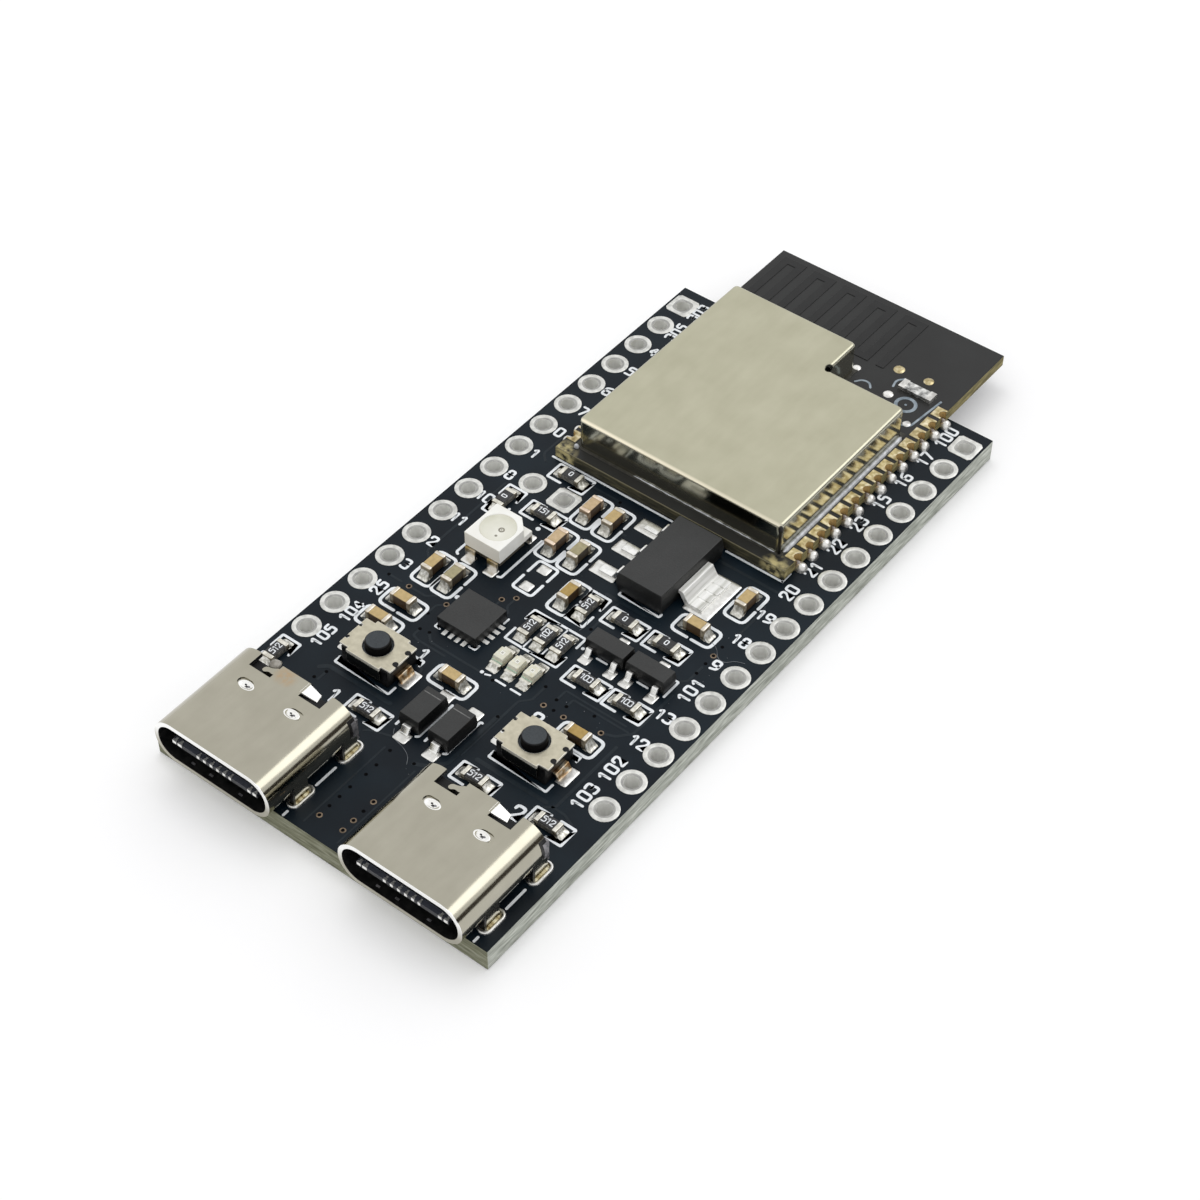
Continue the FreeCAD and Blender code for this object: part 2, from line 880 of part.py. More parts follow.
def transistor_body():
    case = moulded_body(transistor_length, transistor_width, transistor_level, transistor_top)
    return put(case, 0, 0, 0, 90)


def transistor_leads():
    lead = bent_lead(transistor_width / 2, transistor_reach, transistor_level, lead_sheet,
                     transistor_lead_width)
    single = put(lead, 0, 0, 0, 90)
    pair = put(lead, 0, 0, 0, 270)
    half = transistor_lead_pitch / 2
    return [single, put(pair, -half, 0), put(pair, half, 0)]


# Chip parts lie along X, with a metal terminal at each end

def chip_terminals(height):
    half = chip_length / 2
    end = block(half - terminal_length, half, -chip_width / 2, chip_width / 2,
                land_thickness, land_thickness + height)
    return mirrored_pair(end)


def chip_joints(rise):
    """The land and solder under and beyond each terminal."""
    half = chip_length / 2
    outline = [
        (half - terminal_length, 0),
        (half + chip_land_reach, 0),
        (half, land_thickness + rise),
        (half, land_thickness),
        (half - terminal_length, land_thickness),
    ]
    return mirrored_pair(strip(outline, chip_width))


def capacitor_body():
    length = chip_length - 2 * terminal_length
    low = land_thickness + capacitor_skin
    high = land_thickness + capacitor_height - capacitor_skin
    return slab(length, chip_width - 2 * capacitor_skin, low, high)


def resistor_body():
    length = chip_length - 2 * terminal_length
    return slab(length, chip_width, land_thickness,
                land_thickness + resistor_height - glaze_thickness)


def resistor_glaze():
    length = chip_length - 2 * terminal_length
    high = land_thickness + resistor_height
    return slab(length, chip_width, high - glaze_thickness, high)


def indicator_board():
    length = chip_length - 2 * terminal_length
    return slab(length, chip_width, land_thickness, land_thickness + indicator_base)


def indicator_lens():
    length = chip_length - 2 * terminal_length
    low = land_thickness + indicator_base
    return slab(length, chip_width, low, land_thickness + indicator_height)


def flat_land(x0, x1, width):
    """A plain land on the carrier board, and its mirror image."""
    return mirrored_pair(block(x0, x1, -width / 2, width / 2, 0, land_thickness))


def part_lands():
    """The flat lands under leaded parts, and those of a part that isn't fitted."""
    found = []
    start = regulator_width / 2 + 2 * regulator_sheet
    right, left = flat_land(start, regulator_land_reach, regulator_land_width)
    for k in (-1, 0, 1):
        found += seated([put(left, 0, k * regulator_lead_pitch)], regulator_place)
    wide = flat_land(start, regulator_land_reach, regulator_tab_land_width)[0]
    found += seated([wide], regulator_place)
    diode_pair = flat_land(diode_length / 2 + lead_sheet, diode_land_reach, diode_land_width)
    for place in diode_places:
        found += seated(diode_pair, place, 90)
    start = transistor_width / 2 + lead_sheet
    far, near = flat_land(start, transistor_land_reach, transistor_land_width)
    half = transistor_lead_pitch / 2
    set_of_three = [put(far, 0, 0, 0, 90), put(near, -half, 0, 0, 90), put(near, half, 0, 0, 90)]
    for place in transistor_places:
        found += seated(set_of_three, place)
    button_pair = flat_land(button_length / 2, button_land_reach, button_land_width)
    for place in button_places:
        found += seated(button_pair, place)
    lamp_start = lamp_length / 2 - lamp_lead_thickness
    for x in (-lamp_lead_offset, lamp_lead_offset):
        pair = flat_land(lamp_start, lamp_length / 2 + lamp_land_reach, lamp_lead_width)
        found += seated([put(land, x, 0, 0, 90) for land in pair], lamp_place)
    half = chip_length / 2
    bare = flat_land(half - terminal_length, half + chip_land_reach, chip_width)
    return found + seated(bare, empty_footprint, 90)


# Groups of like parts

def everywhere(shapes, level_places, upright_places):
    """Copies of a chip part's shapes at each of its places, level or turned upright."""
    found = []
    for place in level_places:
        found += seated(shapes, place)
    for place in upright_places:
        found += seated(shapes, place, 90)
    return found


def capacitors(shapes):
    return everywhere(shapes, level_capacitors, upright_capacitors)


def resistors(shapes):
    return everywhere(shapes, level_resistors, upright_resistors)


def indicators(shapes):
    return everywhere(shapes, [], indicator_places)


def chip_solder():
    found = capacitors(chip_joints(capacitor_fillet))
    found += resistors(chip_joints(resistor_fillet))
    found += indicators(chip_joints(resistor_fillet))
    return found


# Every piece, written to its own file

def save(node, shapes):
    """One node: a solid, or a group of separate like solids."""
    group = shapes[0] if len(shapes) == 1 else Part.makeCompound(shapes)
    group.exportStep(f"parts/{node}.step")


nodes = {
    "main_board": [main_board()],
    "header_lands": header_lands(),
    "spare_header_lands": spare_lands(),
    "part_lands": part_lands(),
    "chip_solder": chip_solder(),
    "module_board": [module_board()],
    "module_pin_lands": module_pin_lands(),
    "module_solder": module_joints(),
    "shield_can": [shield_can()],
    "shield_can_land": [can_land()],
    "antenna_track": [antenna_track()],
    "radio_chip": [radio_chip()],
    "memory_chip": [memory_chip()],
    "module_crystal": [module_crystal()],
    "module_small_chips": module_small_chips(),
    "usb_solder": usb_collars(),
    "regulator_body": seated([regulator_body()], regulator_place),
    "regulator_leads": seated(regulator_leads(), regulator_place),
    "regulator_tab": seated([regulator_tab()], regulator_place),
    "bridge_chip_body": seated([bridge_chip_body()], bridge_place),
    "bridge_chip_lands": seated(bridge_chip_lands(), bridge_place),
    "rgb_lamp_housing": seated([lamp_housing()], lamp_place),
    "rgb_lamp_lens": seated([lamp_lens()], lamp_place),
    "rgb_lamp_dies": seated(lamp_dies(), lamp_place),
    "rgb_lamp_leads": seated(lamp_leads(), lamp_place),
    "capacitor_bodies": capacitors([capacitor_body()]),
    "capacitor_terminals": capacitors(chip_terminals(capacitor_height)),
    "resistor_bodies": resistors([resistor_body()]),
    "resistor_glazes": resistors([resistor_glaze()]),
    "resistor_terminals": resistors(chip_terminals(resistor_height)),
    "indicator_boards": indicators([indicator_board()]),
    "indicator_lenses": indicators([indicator_lens()]),
    "indicator_terminals": indicators(chip_terminals(indicator_base)),
    "diode_bodies": [s for p in diode_places for s in seated([diode_body()], p)],
    "diode_leads": [s for p in diode_places for s in seated(diode_leads(), p)],
    "transistor_bodies": [s for p in transistor_places for s in seated([transistor_body()], p)],
    "transistor_leads": [s for p in transistor_places for s in seated(transistor_leads(), p)],
}

for number, centre in enumerate(usb_places, 1):
    socket = {
        "shell": [usb_shell()],
        "insulator": [usb_insulator()],
        "plate": [usb_plate()],
        "contacts": usb_contacts(),
    }
    for name, shapes in socket.items():
        nodes[f"usb_{number}_{name}"] = [put(s, centre, usb_front, top) for s in shapes]

for number, place in enumerate(button_places, 1):
    button = {
        "base": [button_base()],
        "frame": [button_frame()],
        "plunger": [button_plunger()],
        "dome": [button_dome()],
        "terminals": button_terminals(),
    }
    for name, shapes in button.items():
        nodes[f"button_{number}_{name}"] = seated(shapes, place)

os.makedirs("parts", exist_ok=True)
for node, shapes in nodes.items():
    save(node, shapes)
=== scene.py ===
import bmesh
import bpy
import math
import random
from mathutils import Matrix, Vector


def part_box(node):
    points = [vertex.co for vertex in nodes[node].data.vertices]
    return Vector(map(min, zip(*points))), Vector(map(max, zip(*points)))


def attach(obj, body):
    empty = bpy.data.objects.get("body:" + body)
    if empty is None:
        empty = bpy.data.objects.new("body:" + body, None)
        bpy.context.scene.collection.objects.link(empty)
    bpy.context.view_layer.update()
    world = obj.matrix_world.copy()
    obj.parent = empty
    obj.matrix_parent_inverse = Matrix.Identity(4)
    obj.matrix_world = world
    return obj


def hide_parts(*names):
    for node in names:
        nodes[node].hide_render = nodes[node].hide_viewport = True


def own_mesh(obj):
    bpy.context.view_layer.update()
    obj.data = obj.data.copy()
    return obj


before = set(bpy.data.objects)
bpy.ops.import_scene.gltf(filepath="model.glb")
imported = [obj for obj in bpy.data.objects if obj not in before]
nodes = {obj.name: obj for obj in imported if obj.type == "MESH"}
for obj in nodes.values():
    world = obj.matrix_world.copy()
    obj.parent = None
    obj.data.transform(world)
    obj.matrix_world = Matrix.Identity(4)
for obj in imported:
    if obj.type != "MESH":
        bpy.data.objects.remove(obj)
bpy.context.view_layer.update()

# The board lies on white paper in a light tent. The paper and the tent are pure white,
# one large lamp overhead adds a soft shadow, and a strip lamp behind the right side
# draws the bright line along each socket. A dark card below it draws the dark one.
mm = 0.001
collection = bpy.context.scene.collection
paper_drop = 0.05 * mm
paper_reach = 2.0
paper_white = 0.86
paper_lift = 0.17
tent_glow = 0.86
board_centre = Vector((0, -2 * mm, 2 * mm))


def add_node(tree, kind, inputs, **settings):
    """A new node. Each input is set, or linked where its value is another node's output."""
    made = tree.nodes.new("ShaderNode" + kind)
    for name, value in settings.items():
        setattr(made, name, value)
    for name, value in inputs.items():
        if isinstance(value, bpy.types.NodeSocket):
            tree.links.new(value, made.inputs[name])
        else:
            made.inputs[name].default_value = value
    return made


def screen(name, coat_name, corners, tone):
    """A flat sheet of the studio with a matt coat."""
    mesh = bpy.data.meshes.new(name)
    mesh.from_pydata(corners, [], [(0, 1, 2, 3)])
    sheet = bpy.data.objects.new(name, mesh)
    collection.objects.link(sheet)
    material = bpy.data.materials.new(coat_name)
    material.use_nodes = True
    mesh.materials.append(material)
    coat = material.node_tree.nodes["Principled BSDF"]
    coat.inputs["Base Color"].default_value = (*tone, 1)
    coat.inputs["Roughness"].default_value = 0.9
    return sheet, material.node_tree, coat


def seen_rays(tree):
    """1 for rays from the camera and from glossy faces, and the node that tells rays apart."""
    rays = add_node(tree, "LightPath", {}).outputs
    seen = add_node(tree, "Math", {0: rays["Is Camera Ray"], 1: rays["Is Glossy Ray"]}, operation="MAXIMUM")
    return seen.outputs[0], rays


paper_corners = [(-paper_reach, -paper_reach, -paper_drop), (paper_reach, -paper_reach, -paper_drop),
                 (paper_reach, paper_reach, -paper_drop), (-paper_reach, paper_reach, -paper_drop)]
paper, tree, coat = screen("paper", "white_paper", paper_corners,
                           (paper_white, paper_white, paper_white * 1.01))
coat.inputs["Specular IOR Level"].default_value = 0.1
glow = add_node(tree, "Emission", {"Strength": paper_lift}).outputs[0]
both = add_node(tree, "AddShader", {0: coat.outputs[0], 1: glow}).outputs[0]
chooser = add_node(tree, "MixShader", {0: seen_rays(tree)[0], 1: coat.outputs[0], 2: both})
tree.links.new(chooser.outputs[0], tree.nodes["Material Output"].inputs["Surface"])

tent = bpy.data.worlds.new("tent")
bpy.context.scene.world = tent
tent.use_nodes = True
tree = tent.node_tree
seen, rays = seen_rays(tree)
clear = add_node(tree, "Math", {0: seen, 1: rays["Is Transmission Ray"]}, operation="MAXIMUM").outputs[0]
level = add_node(tree, "MapRange", {"Value": clear, "To Min": tent_glow, "To Max": 1.0})
tree.nodes["Background"].inputs["Color"].default_value = (1, 1, 1, 1)
tree.links.new(level.outputs["Result"], tree.nodes["Background"].inputs["Strength"])


def lamp(name, place, across, along, power):
    """A flat soft lamp that faces the board."""
    data = bpy.data.lights.new(name, "AREA")
    data.shape = "RECTANGLE"
    data.size = across
    data.size_y = along
    data.energy = power
    obj = bpy.data.objects.new(name, data)
    obj.location = place
    obj.rotation_mode = "QUATERNION"
    obj.rotation_quaternion = (board_centre - Vector(place)).to_track_quat("-Z", "Y")
    collection.objects.link(obj)
    return obj


lamp("overhead_lamp", (-0.12, 0.06, 0.34), 0.20, 0.20, 0.24).visible_glossy = False
lamp("strip_lamp", (0.130, 0.19, 0.240), 0.27, 0.22, 0.30).visible_diffuse = False

card_near, card_far = (0.34, 0.05), (0.13, 0.35)
card_foot, card_top = 0.022, 0.125
card_corners = [(*card_near, card_foot), (*card_far, card_foot),
                (*card_far, card_top), (*card_near, card_top)]
card = screen("dark_card", "card_black", card_corners, (0.05, 0.04, 0.03))[0]
for sight in ("visible_camera", "visible_diffuse", "visible_transmission", "visible_shadow"):
    setattr(card, sight, False)

camera = bpy.data.objects.new("camera", bpy.data.cameras.new("camera"))
collection.objects.link(camera)
camera.data.sensor_width = 36.0
camera.data.lens = 75.64
camera.data.clip_start = 0.01
camera.data.clip_end = 10.0
camera.matrix_world = Matrix((
    (0.78803665, -0.45133273, 0.41868486, 0.065766),
    (0.61560068, 0.57125708, -0.54286384, -0.090085),
    (0.00583553, 0.68553928, 0.72801225, 0.113911),
    (0, 0, 0, 1),
))
bpy.context.scene.camera = camera
bpy.context.scene.view_settings.view_transform = "Standard"


# Carrier board: glass fibre laminate, routed from a panel, so its edges are rough and
# fibrous. Both faces carry near-black solder mask, and the holes are plated with tin.
class Finish:
    """A material. A soft cloud shifts its colour, and its roughness where two values are given."""

    def __init__(self, name, grain=None, colours=(), rough=0.5, metal=0.0, relief=0.0, shine=0.5,
                 levels=(0.3, 0.7)):
        self.material = bpy.data.materials.new(name)
        self.material.use_nodes = True
        self.tree = self.material.node_tree
        self.shader = self.tree.nodes["Principled BSDF"].inputs
        self.place = self.make("TexCoord", {}, "Object")
        self.set("Metallic", metal)
        self.set("Specular IOR Level", shine)
        if grain:
            drift = self.cloud(*grain)
            self.set("Base Color", self.tones(drift, levels, colours))
            self.set("Roughness", self.span(drift, *rough) if isinstance(rough, tuple) else rough)
            if relief:
                self.uneven(drift, relief)

    def make(self, kind, inputs, output, **settings):
        return add_node(self.tree, kind, inputs, **settings).outputs[output]

    def set(self, socket, value):
        """Sets a socket of the shader, or links it to a node's output."""
        if isinstance(value, bpy.types.NodeSocket):
            self.tree.links.new(value, self.shader[socket])
        else:
            self.shader[socket].default_value = value

    def now(self, socket):
        """What feeds a socket of the shader at this point."""
        return self.shader[socket].links[0].from_socket

    def cloud(self, scale, detail=3.0, stretch=None):
        """Soft random tone of a given fineness, drawn out along an axis where asked."""
        place = self.make("Mapping", {"Vector": self.place, "Scale": stretch}, 0) if stretch else self.place
        return self.make("TexNoise", {"Vector": place, "Scale": scale, "Detail": detail}, "Fac")

    def tones(self, value, levels, colours):
        """Colours along a value, one at each level."""
        ramp = add_node(self.tree, "ValToRGB", {"Fac": value})
        first, last = ramp.color_ramp.elements
        first.position, last.position = levels[0], levels[-1]
        first.color, last.color = (*colours[0], 1), (*colours[-1], 1)
        for level, colour in list(zip(levels, colours))[1:-1]:
            ramp.color_ramp.elements.new(level).color = (*colour, 1)
        return ramp.outputs["Color"]

    def span(self, value, low, high, start=0.0, end=1.0):
        """A value stretched from one range to another."""
        inputs = {"Value": value, "From Min": start, "From Max": end, "To Min": low, "To Max": high}
        return self.make("MapRange", inputs, "Result")

    def sums(self, operation, first, second=0.0):
        """Arithmetic on two values."""
        return self.make("Math", {0: first, 1: second}, 0, operation=operation)

    def times(self, first, second):
        return self.sums("MULTIPLY", first, second)

    def blended(self, share, first, second):
        """One colour laid over another by a share."""
        first, second = [(*c, 1) if isinstance(c, tuple) else c for c in (first, second)]
        return self.make("Mix", {"Factor": share, 6: first, 7: second}, 2, data_type="RGBA")

    def over(self, share, colour):
        """A colour laid over the present one by a share."""
        self.set("Base Color", self.blended(share, self.now("Base Color"), colour))

    def uneven(self, height, depth):
        """Relief of a given depth in millimetres."""
        self.set("Normal", self.make("Bump", {"Height": height, "Distance": depth * mm}, "Normal"))

    def parts(self, vector):
        """A vector's own parts across, along and up."""
        return add_node(self.tree, "SeparateXYZ", {"Vector": vector}).outputs

    def facing(self, axis):
        """How far a face looks along an axis, from 0 to 1."""
        return self.sums("ABSOLUTE", self.parts(self.make("NewGeometry", {}, "Normal"))[axis])

    def rising(self, axis, start, end, low=0.0, high=1.0):
        """A value that climbs between two places along an axis, both in millimetres."""
        return self.span(self.parts(self.place)[axis], low, high, start * mm, end * mm)

    def below(self, axis, level):
        """1 below a place along an axis, in millimetres, and 0 beyond it."""
        return self.sums("LESS_THAN", self.parts(self.place)[axis], level * mm)

    def patch(self, spot, radius):
        """A soft round patch: 1 at its middle, 0 from its radius on, both in millimetres."""
        middle = [value * mm for value in spot]
        gap = self.make("VectorMath", {0: self.place, 1: middle}, "Value", operation="DISTANCE")
        return self.span(gap, 1.0, 0.0, 0.0, radius * mm)

    def shaded_sides(self, tone, start=0.55, end=0.85):
        """Upright faces are painted a darker tone than the top: painted shade on the sides."""
        self.over(self.span(self.facing("Z"), 1.0, 0.0, start, end), tone)


def laminate(name, board, half_width, middle, mask, edge, near_edge, levels, plating, shine):
    """Masked laminate: dark faces, fibrous edges with a shaded near one, and plated holes."""
    finish = Finish(name, shine=shine)
    near, far = [corner.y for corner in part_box(board)]
    rim_depth = 0.02 * mm
    place = finish.parts(finish.place)
    patches = finish.cloud(260, 4)
    grain = finish.cloud(9000, 2)
    fibres = finish.cloud(5200, 3, (0.16, 0.16, 1.2))
    flat = finish.sums("GREATER_THAN", finish.facing("Z"), 0.5)
    upright = finish.sums("SUBTRACT", 1.0, flat)
    across = finish.sums("ABSOLUTE", finish.sums("SUBTRACT", place["X"], middle * mm))
    outside = finish.sums("GREATER_THAN", across, half_width * mm - rim_depth)
    beyond = finish.sums("GREATER_THAN", place["Y"], far - rim_depth)
    before = finish.sums("LESS_THAN", place["Y"], near + rim_depth)
    rim = finish.sums("MAXIMUM", outside, finish.sums("MAXIMUM", beyond, before))
    fibre_tones = [finish.tones(fibres, levels, colours) for colours in (edge, near_edge)]
    sides = finish.blended(rim, plating, finish.blended(before, *fibre_tones))
    finish.set("Base Color", finish.blended(flat, sides, finish.tones(patches, (0.35, 0.68), mask)))
    finish.set("Metallic", finish.times(upright, finish.sums("SUBTRACT", 1.0, rim)))
    finish.set("Roughness", finish.sums("ADD", finish.span(patches, 0.30, 0.44), finish.times(upright, 0.42)))
    frayed = finish.times(finish.times(fibres, rim), 4.0)
    finish.uneven(finish.sums("ADD", finish.times(grain, 0.25), frayed), 0.012)
    return finish


def clad(node, finish):
    """Gives a piece of the frame its finish."""
    obj = nodes[node]
    obj.data.materials.clear()
    obj.data.materials.append(finish.material)


clad("main_board", laminate(
    "carrier_laminate", "main_board", 12.5, 0.0,
    mask=((0.0015, 0.0050, 0.0095), (0.0045, 0.0110, 0.0175)),
    edge=((0.26, 0.275, 0.235), (0.43, 0.45, 0.40), (0.66, 0.68, 0.62)),
    near_edge=((0.130, 0.132, 0.085), (0.215, 0.220, 0.150), (0.330, 0.335, 0.260)),
    levels=(0.28, 0.50, 0.74), plating=(0.42, 0.41, 0.38), shine=0.18,
))


# Traces and vias: etched copper under the mask shows as faint raised lines, and small
# plated holes carry signals through. The mask covers them, a few keep a copper ring.
def band(bm, first, second, mark):
    """Faces between two rings of corners."""
    for i, corner in enumerate(first):
        j = (i + 1) % len(first)
        bm.faces.new((corner, first[j], second[j], second[i])).material_index = mark


def stack(bm, rings, index=0):
    """Skins rings of points, one above another, and closes both ends."""
    rows = [[bm.verts.new(point) for point in ring] for ring in rings]
    for low, high in zip(rows, rows[1:]):
        band(bm, low, high, index)
    for end in (rows[0][::-1], rows[-1]):
        bm.faces.new(end).material_index = index


def sleeve(bm, rings, marks):
    """Skins rings of points in turn, and the last to the first. Each band has its mark."""
    rows = [[bm.verts.new(point) for point in ring] for ring in rings]
    for first, second, mark in zip(rows, rows[1:] + rows[:1], marks):
        band(bm, first, second, mark)


def flat_ring(points, height):
    return [(x, y, height) for x, y in points]


def slab(bm, outline, low, high, index=0):
    stack(bm, [flat_ring(outline, low), flat_ring(outline, high)], index)


def circle(x, y, radius, sides):
    turns = [2 * math.pi * (k + 0.5) / sides for k in range(sides)]
    return [(x + radius * math.cos(a), y + radius * math.sin(a)) for a in turns]


def post(bm, x, y, sides, profile, index=0):
    """A round solid turned from a profile of radius and height."""
    stack(bm, [flat_ring(circle(x, y, radius, sides), z) for radius, z in profile], index)


def hoop(bm, x, y, sides, profile, index=0):
    """A round ring turned from a closed outline of radius and height."""
    sleeve(bm, [flat_ring(circle(x, y, radius, sides), z) for radius, z in profile], [index] * len(profile))


def rounded(points, radius, closed=False, steps=4):
    """The same line with its corners turned into arcs."""
    line = [Vector(point) for point in points]
    done = []
    for i, point in enumerate(line):
        if not closed and i in (0, len(line) - 1):
            done.append(point)
            continue
        back = line[i - 1] - point
        ahead = line[(i + 1) % len(line)] - point
        start = point + back.normalized() * min(radius, back.length / 2)
        end = point + ahead.normalized() * min(radius, ahead.length / 2)
        for k in range(steps + 1):
            t = k / steps
            done.append(start * (1 - t) ** 2 + point * 2 * t * (1 - t) + end * t * t)
    return done


def ribbon(bm, line, width, low, high, closed=False):
    """A thin stroke of even width along a line, with round ends."""
    points = [Vector(point) for point in line]
    line = points[:1]
    for point in points[1:]:
        if (point - line[-1]).length > 1e-4:
            line.append(point)
    if closed and (line[0] - line[-1]).length < 1e-4:
        line.pop()
    left, right = [], []
    for i, point in enumerate(line):
        into = (point - line[i - 1]).normalized() if i or closed else None
        out = (line[(i + 1) % len(line)] - point).normalized() if i < len(line) - 1 or closed else into
        into = into or out
        along = (into + out).normalized() if (into + out).length > 1e-6 else out
        side = Vector((-along.y, along.x))
        reach = min(1 / max(along.dot(out), 0.3), 1.6) * width / 2
        left.append(point + side * reach)
        right.append(point - side * reach)
    if closed:
        rings = ((left, low), (left, high), (right, high), (right, low))
        sleeve(bm, [flat_ring(ring, z) for ring, z in rings], [0] * 4)
        return
    tips = []
    for end, pivot in ((left[-1], line[-1]), (right[0], line[0])):
        arm = end - pivot
        turns = [-math.pi * k / 5 for k in range(1, 5)]
        tips.append([pivot + Vector((arm.x * math.cos(turn) - arm.y * math.sin(turn),
                                     arm.x * math.sin(turn) + arm.y * math.cos(turn))) for turn in turns])
    slab(bm, left + tips[0] + right[::-1] + tips[1], low, high)


def soften(obj, width, rounds=2, angle=35.0):
    """Rounds the piece's edges by a width in millimetres and shades its flats evenly."""
    edge = obj.modifiers.new("rounded_edges", "BEVEL")
    edge.width = width * mm
    edge.segments = rounds
    edge.limit_method = "ANGLE"
    edge.angle_limit = math.radians(angle)
    edge.use_clamp_overlap = True
    obj.data.shade_smooth()
    obj.data.set_sharp_from_angle(angle=math.radians(80))
    even = obj.modifiers.new("even_faces", "WEIGHTED_NORMAL")
    even.weight = 100
    even.keep_sharp = True


def piece(name, bm, finishes, replaced=(), body="root", smooth=35.0, bevel=0.0, rounds=2, angle=35.0):
    """Makes a drawn shape one real piece of the board. It is drawn in millimetres."""
    bmesh.ops.scale(bm, vec=(mm, mm, mm), verts=bm.verts)
    bmesh.ops.recalc_face_normals(bm, faces=bm.faces)
    mesh = bpy.data.meshes.new(name)
    bm.to_mesh(mesh)
    bm.free()
    mesh.shade_smooth()
    mesh.set_sharp_from_angle(angle=math.radians(smooth))
    for finish in finishes if isinstance(finishes, list) else [finishes]:
        mesh.materials.append(finish.material)
    obj = bpy.data.objects.new(name, mesh)
    collection.objects.link(obj)
    if bevel:
        soften(obj, bevel, rounds, angle)
    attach(obj, body)
    if replaced:
        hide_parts(*replaced)
    return obj


board_top = 1.6
traces = [
    (0.16, (9.1, -0.2), (9.55, -0.7), (9.55, -3.9)),
    (0.16, (9.35, -6.9), (9.35, -8.3), (9.05, -8.6)),
    (0.20, (9.3, -9.8), (9.3, -13.6), (8.6, -14.4), (7.78, -14.7)),
    (0.20, (9.15, -15.0), (9.15, -20.6), (8.6, -21.1)),
    (0.16, (3.0, -13.9), (3.0, -15.2), (2.45, -15.8), (2.45, -21.0)),
    (0.14, (4.15, -14.3), (4.15, -13.4), (8.6, -13.4)),
    (0.14, (4.93, -14.35), (4.93, -13.7), (9.0, -13.7)),
    (0.14, (-5.95, -12.45), (-6.4, -12.9), (-6.4, -13.7)),
    (0.16, (-8.75, -12.7), (-7.4, -12.7), (-6.6, -12.0)),
    (0.16, (-10.4, -12.68), (-9.4, -12.68)),
    (0.14, (-2.93, -9.4), (-2.93, -10.3), (-2.5, -10.7)),
    (0.14, (-3.57, -10.03), (-3.57, -10.8)),
    (0.16, (-9.9, -2.0), (-9.9, -9.6), (-9.4, -10.1)),
    (0.16, (-4.6, -3.2), (-5.4, -3.2), (-5.4, 1.2), (-3.2, 1.2)),
    (0.16, (-5.25, -14.85), (-4.7, -15.4), (-0.2, -15.4)),
    (0.16, (-5.9, -14.97), (-5.9, -15.6), (-5.4, -15.75), (-3.3, -15.75)),
    (0.30, (2.25, -17.45), (2.25, -22.0), (1.4, -22.9), (0.75, -23.2)),
    (0.16, (-1.0, -22.2), (-3.0, -22.9), (-3.2, -23.1)),
    (0.30, (-3.4, -20.6), (-8.2, -20.6), (-8.6, -21.0)),
    (0.16, (-8.0, -21.05), (-8.0, -21.8)),
    (0.30, (3.4, -20.7), (8.5, -20.7)),
    (0.16, (9.0, -20.75), (9.9, -20.75), (10.7, -21.1)),
    (0.25, (1.2, -5.7), (5.2, -5.7)),
    (0.16, (2.25, -8.6), (2.25, -5.9)),
    (0.22, (5.0, 0.9), (7.2, 0.9), (9.3, 0.9)),
    (0.20, (-1.0, -1.0), (-1.4, -1.0)),
    (0.16, (-9.2, 1.2), (-9.7, 1.7), (-9.7, 3.5)),
    (0.12, (-1.4, -23.3), (-1.4, -30.2)),
    (0.12, (1.15, -23.6), (1.15, -30.2)),
    (0.16, (-4.2, -16.9), (-3.6, -17.5), (-3.6, -19.5)),
]
copper_paths = bmesh.new()
for width, *line in traces:
    ribbon(copper_paths, rounded(line, 0.15), width, board_top - 0.002, board_top + 0.008)
masked_copper = Finish("masked_copper", (2600, 3), ((0.0035, 0.0085, 0.0135), (0.0065, 0.0140, 0.0205)),
                       (0.28, 0.42), shine=0.26)
piece("traces_under_mask", copper_paths, masked_copper)

plain_vias = [
    (9.35, -4.85), (9.35, -6.55), (9.38, -7.5), (-10.4, -12.68), (-6.35, -13.7), (-5.25, -14.85),
    (-5.9, -14.97), (3.0, -13.9), (4.15, -14.3), (4.93, -14.35), (6.68, -13.92), (4.52, -15.05),
    (2.25, -17.45), (0.2, -15.45), (2.25, -8.6), (-8.0, -21.05), (-8.3, -21.8), (-1.0, -23.3),
    (-0.9, -24.6), (-0.9, -25.5), (-1.0, -26.75), (-1.0, -27.65), (-1.0, -28.5), (0.78, -27.6),
    (0.75, -23.2), (-3.05, 1.15),
]
ringed_vias = [
    (9.35, -5.75), (-2.93, -9.4), (-3.57, -10.03), (-5.95, -12.45), (-8.75, -12.7), (3.8, -15.1),
    (5.3, -15.1), (7.78, -14.7), (-1.0, -29.35), (0.78, -26.75), (0.78, -28.45), (0.78, -29.35),
]
via_radius = 0.115
via_rings = bmesh.new()
ring_profile = [(0.10, 0.0), (via_radius, 0.010), (0.185, 0.009), (0.205, -0.002)]
for x, y in plain_vias + ringed_vias:
    if (x, y) in ringed_vias:
        hoop(via_rings, x, y, 14, [(radius, board_top + z) for radius, z in ring_profile], 1)
    # Each via is filled by a post painted near-black: painted shade where the hole is.
    post(via_rings, x, y, 14, [(via_radius, board_top - 0.002), (via_radius, board_top + 0.012)], 2)
bare_copper = Finish("via_copper", (4000, 2), ((0.120, 0.085, 0.055), (0.260, 0.190, 0.125)), 0.45, 0.35,
                     levels=(0.35, 0.65))
via_hole_shade = Finish("via_hole_shade", (5000, 1), ((0.001, 0.001, 0.001), (0.003, 0.003, 0.004)), 0.8, shine=0.05)
piece("vias", via_rings, [masked_copper, bare_copper, via_hole_shade])


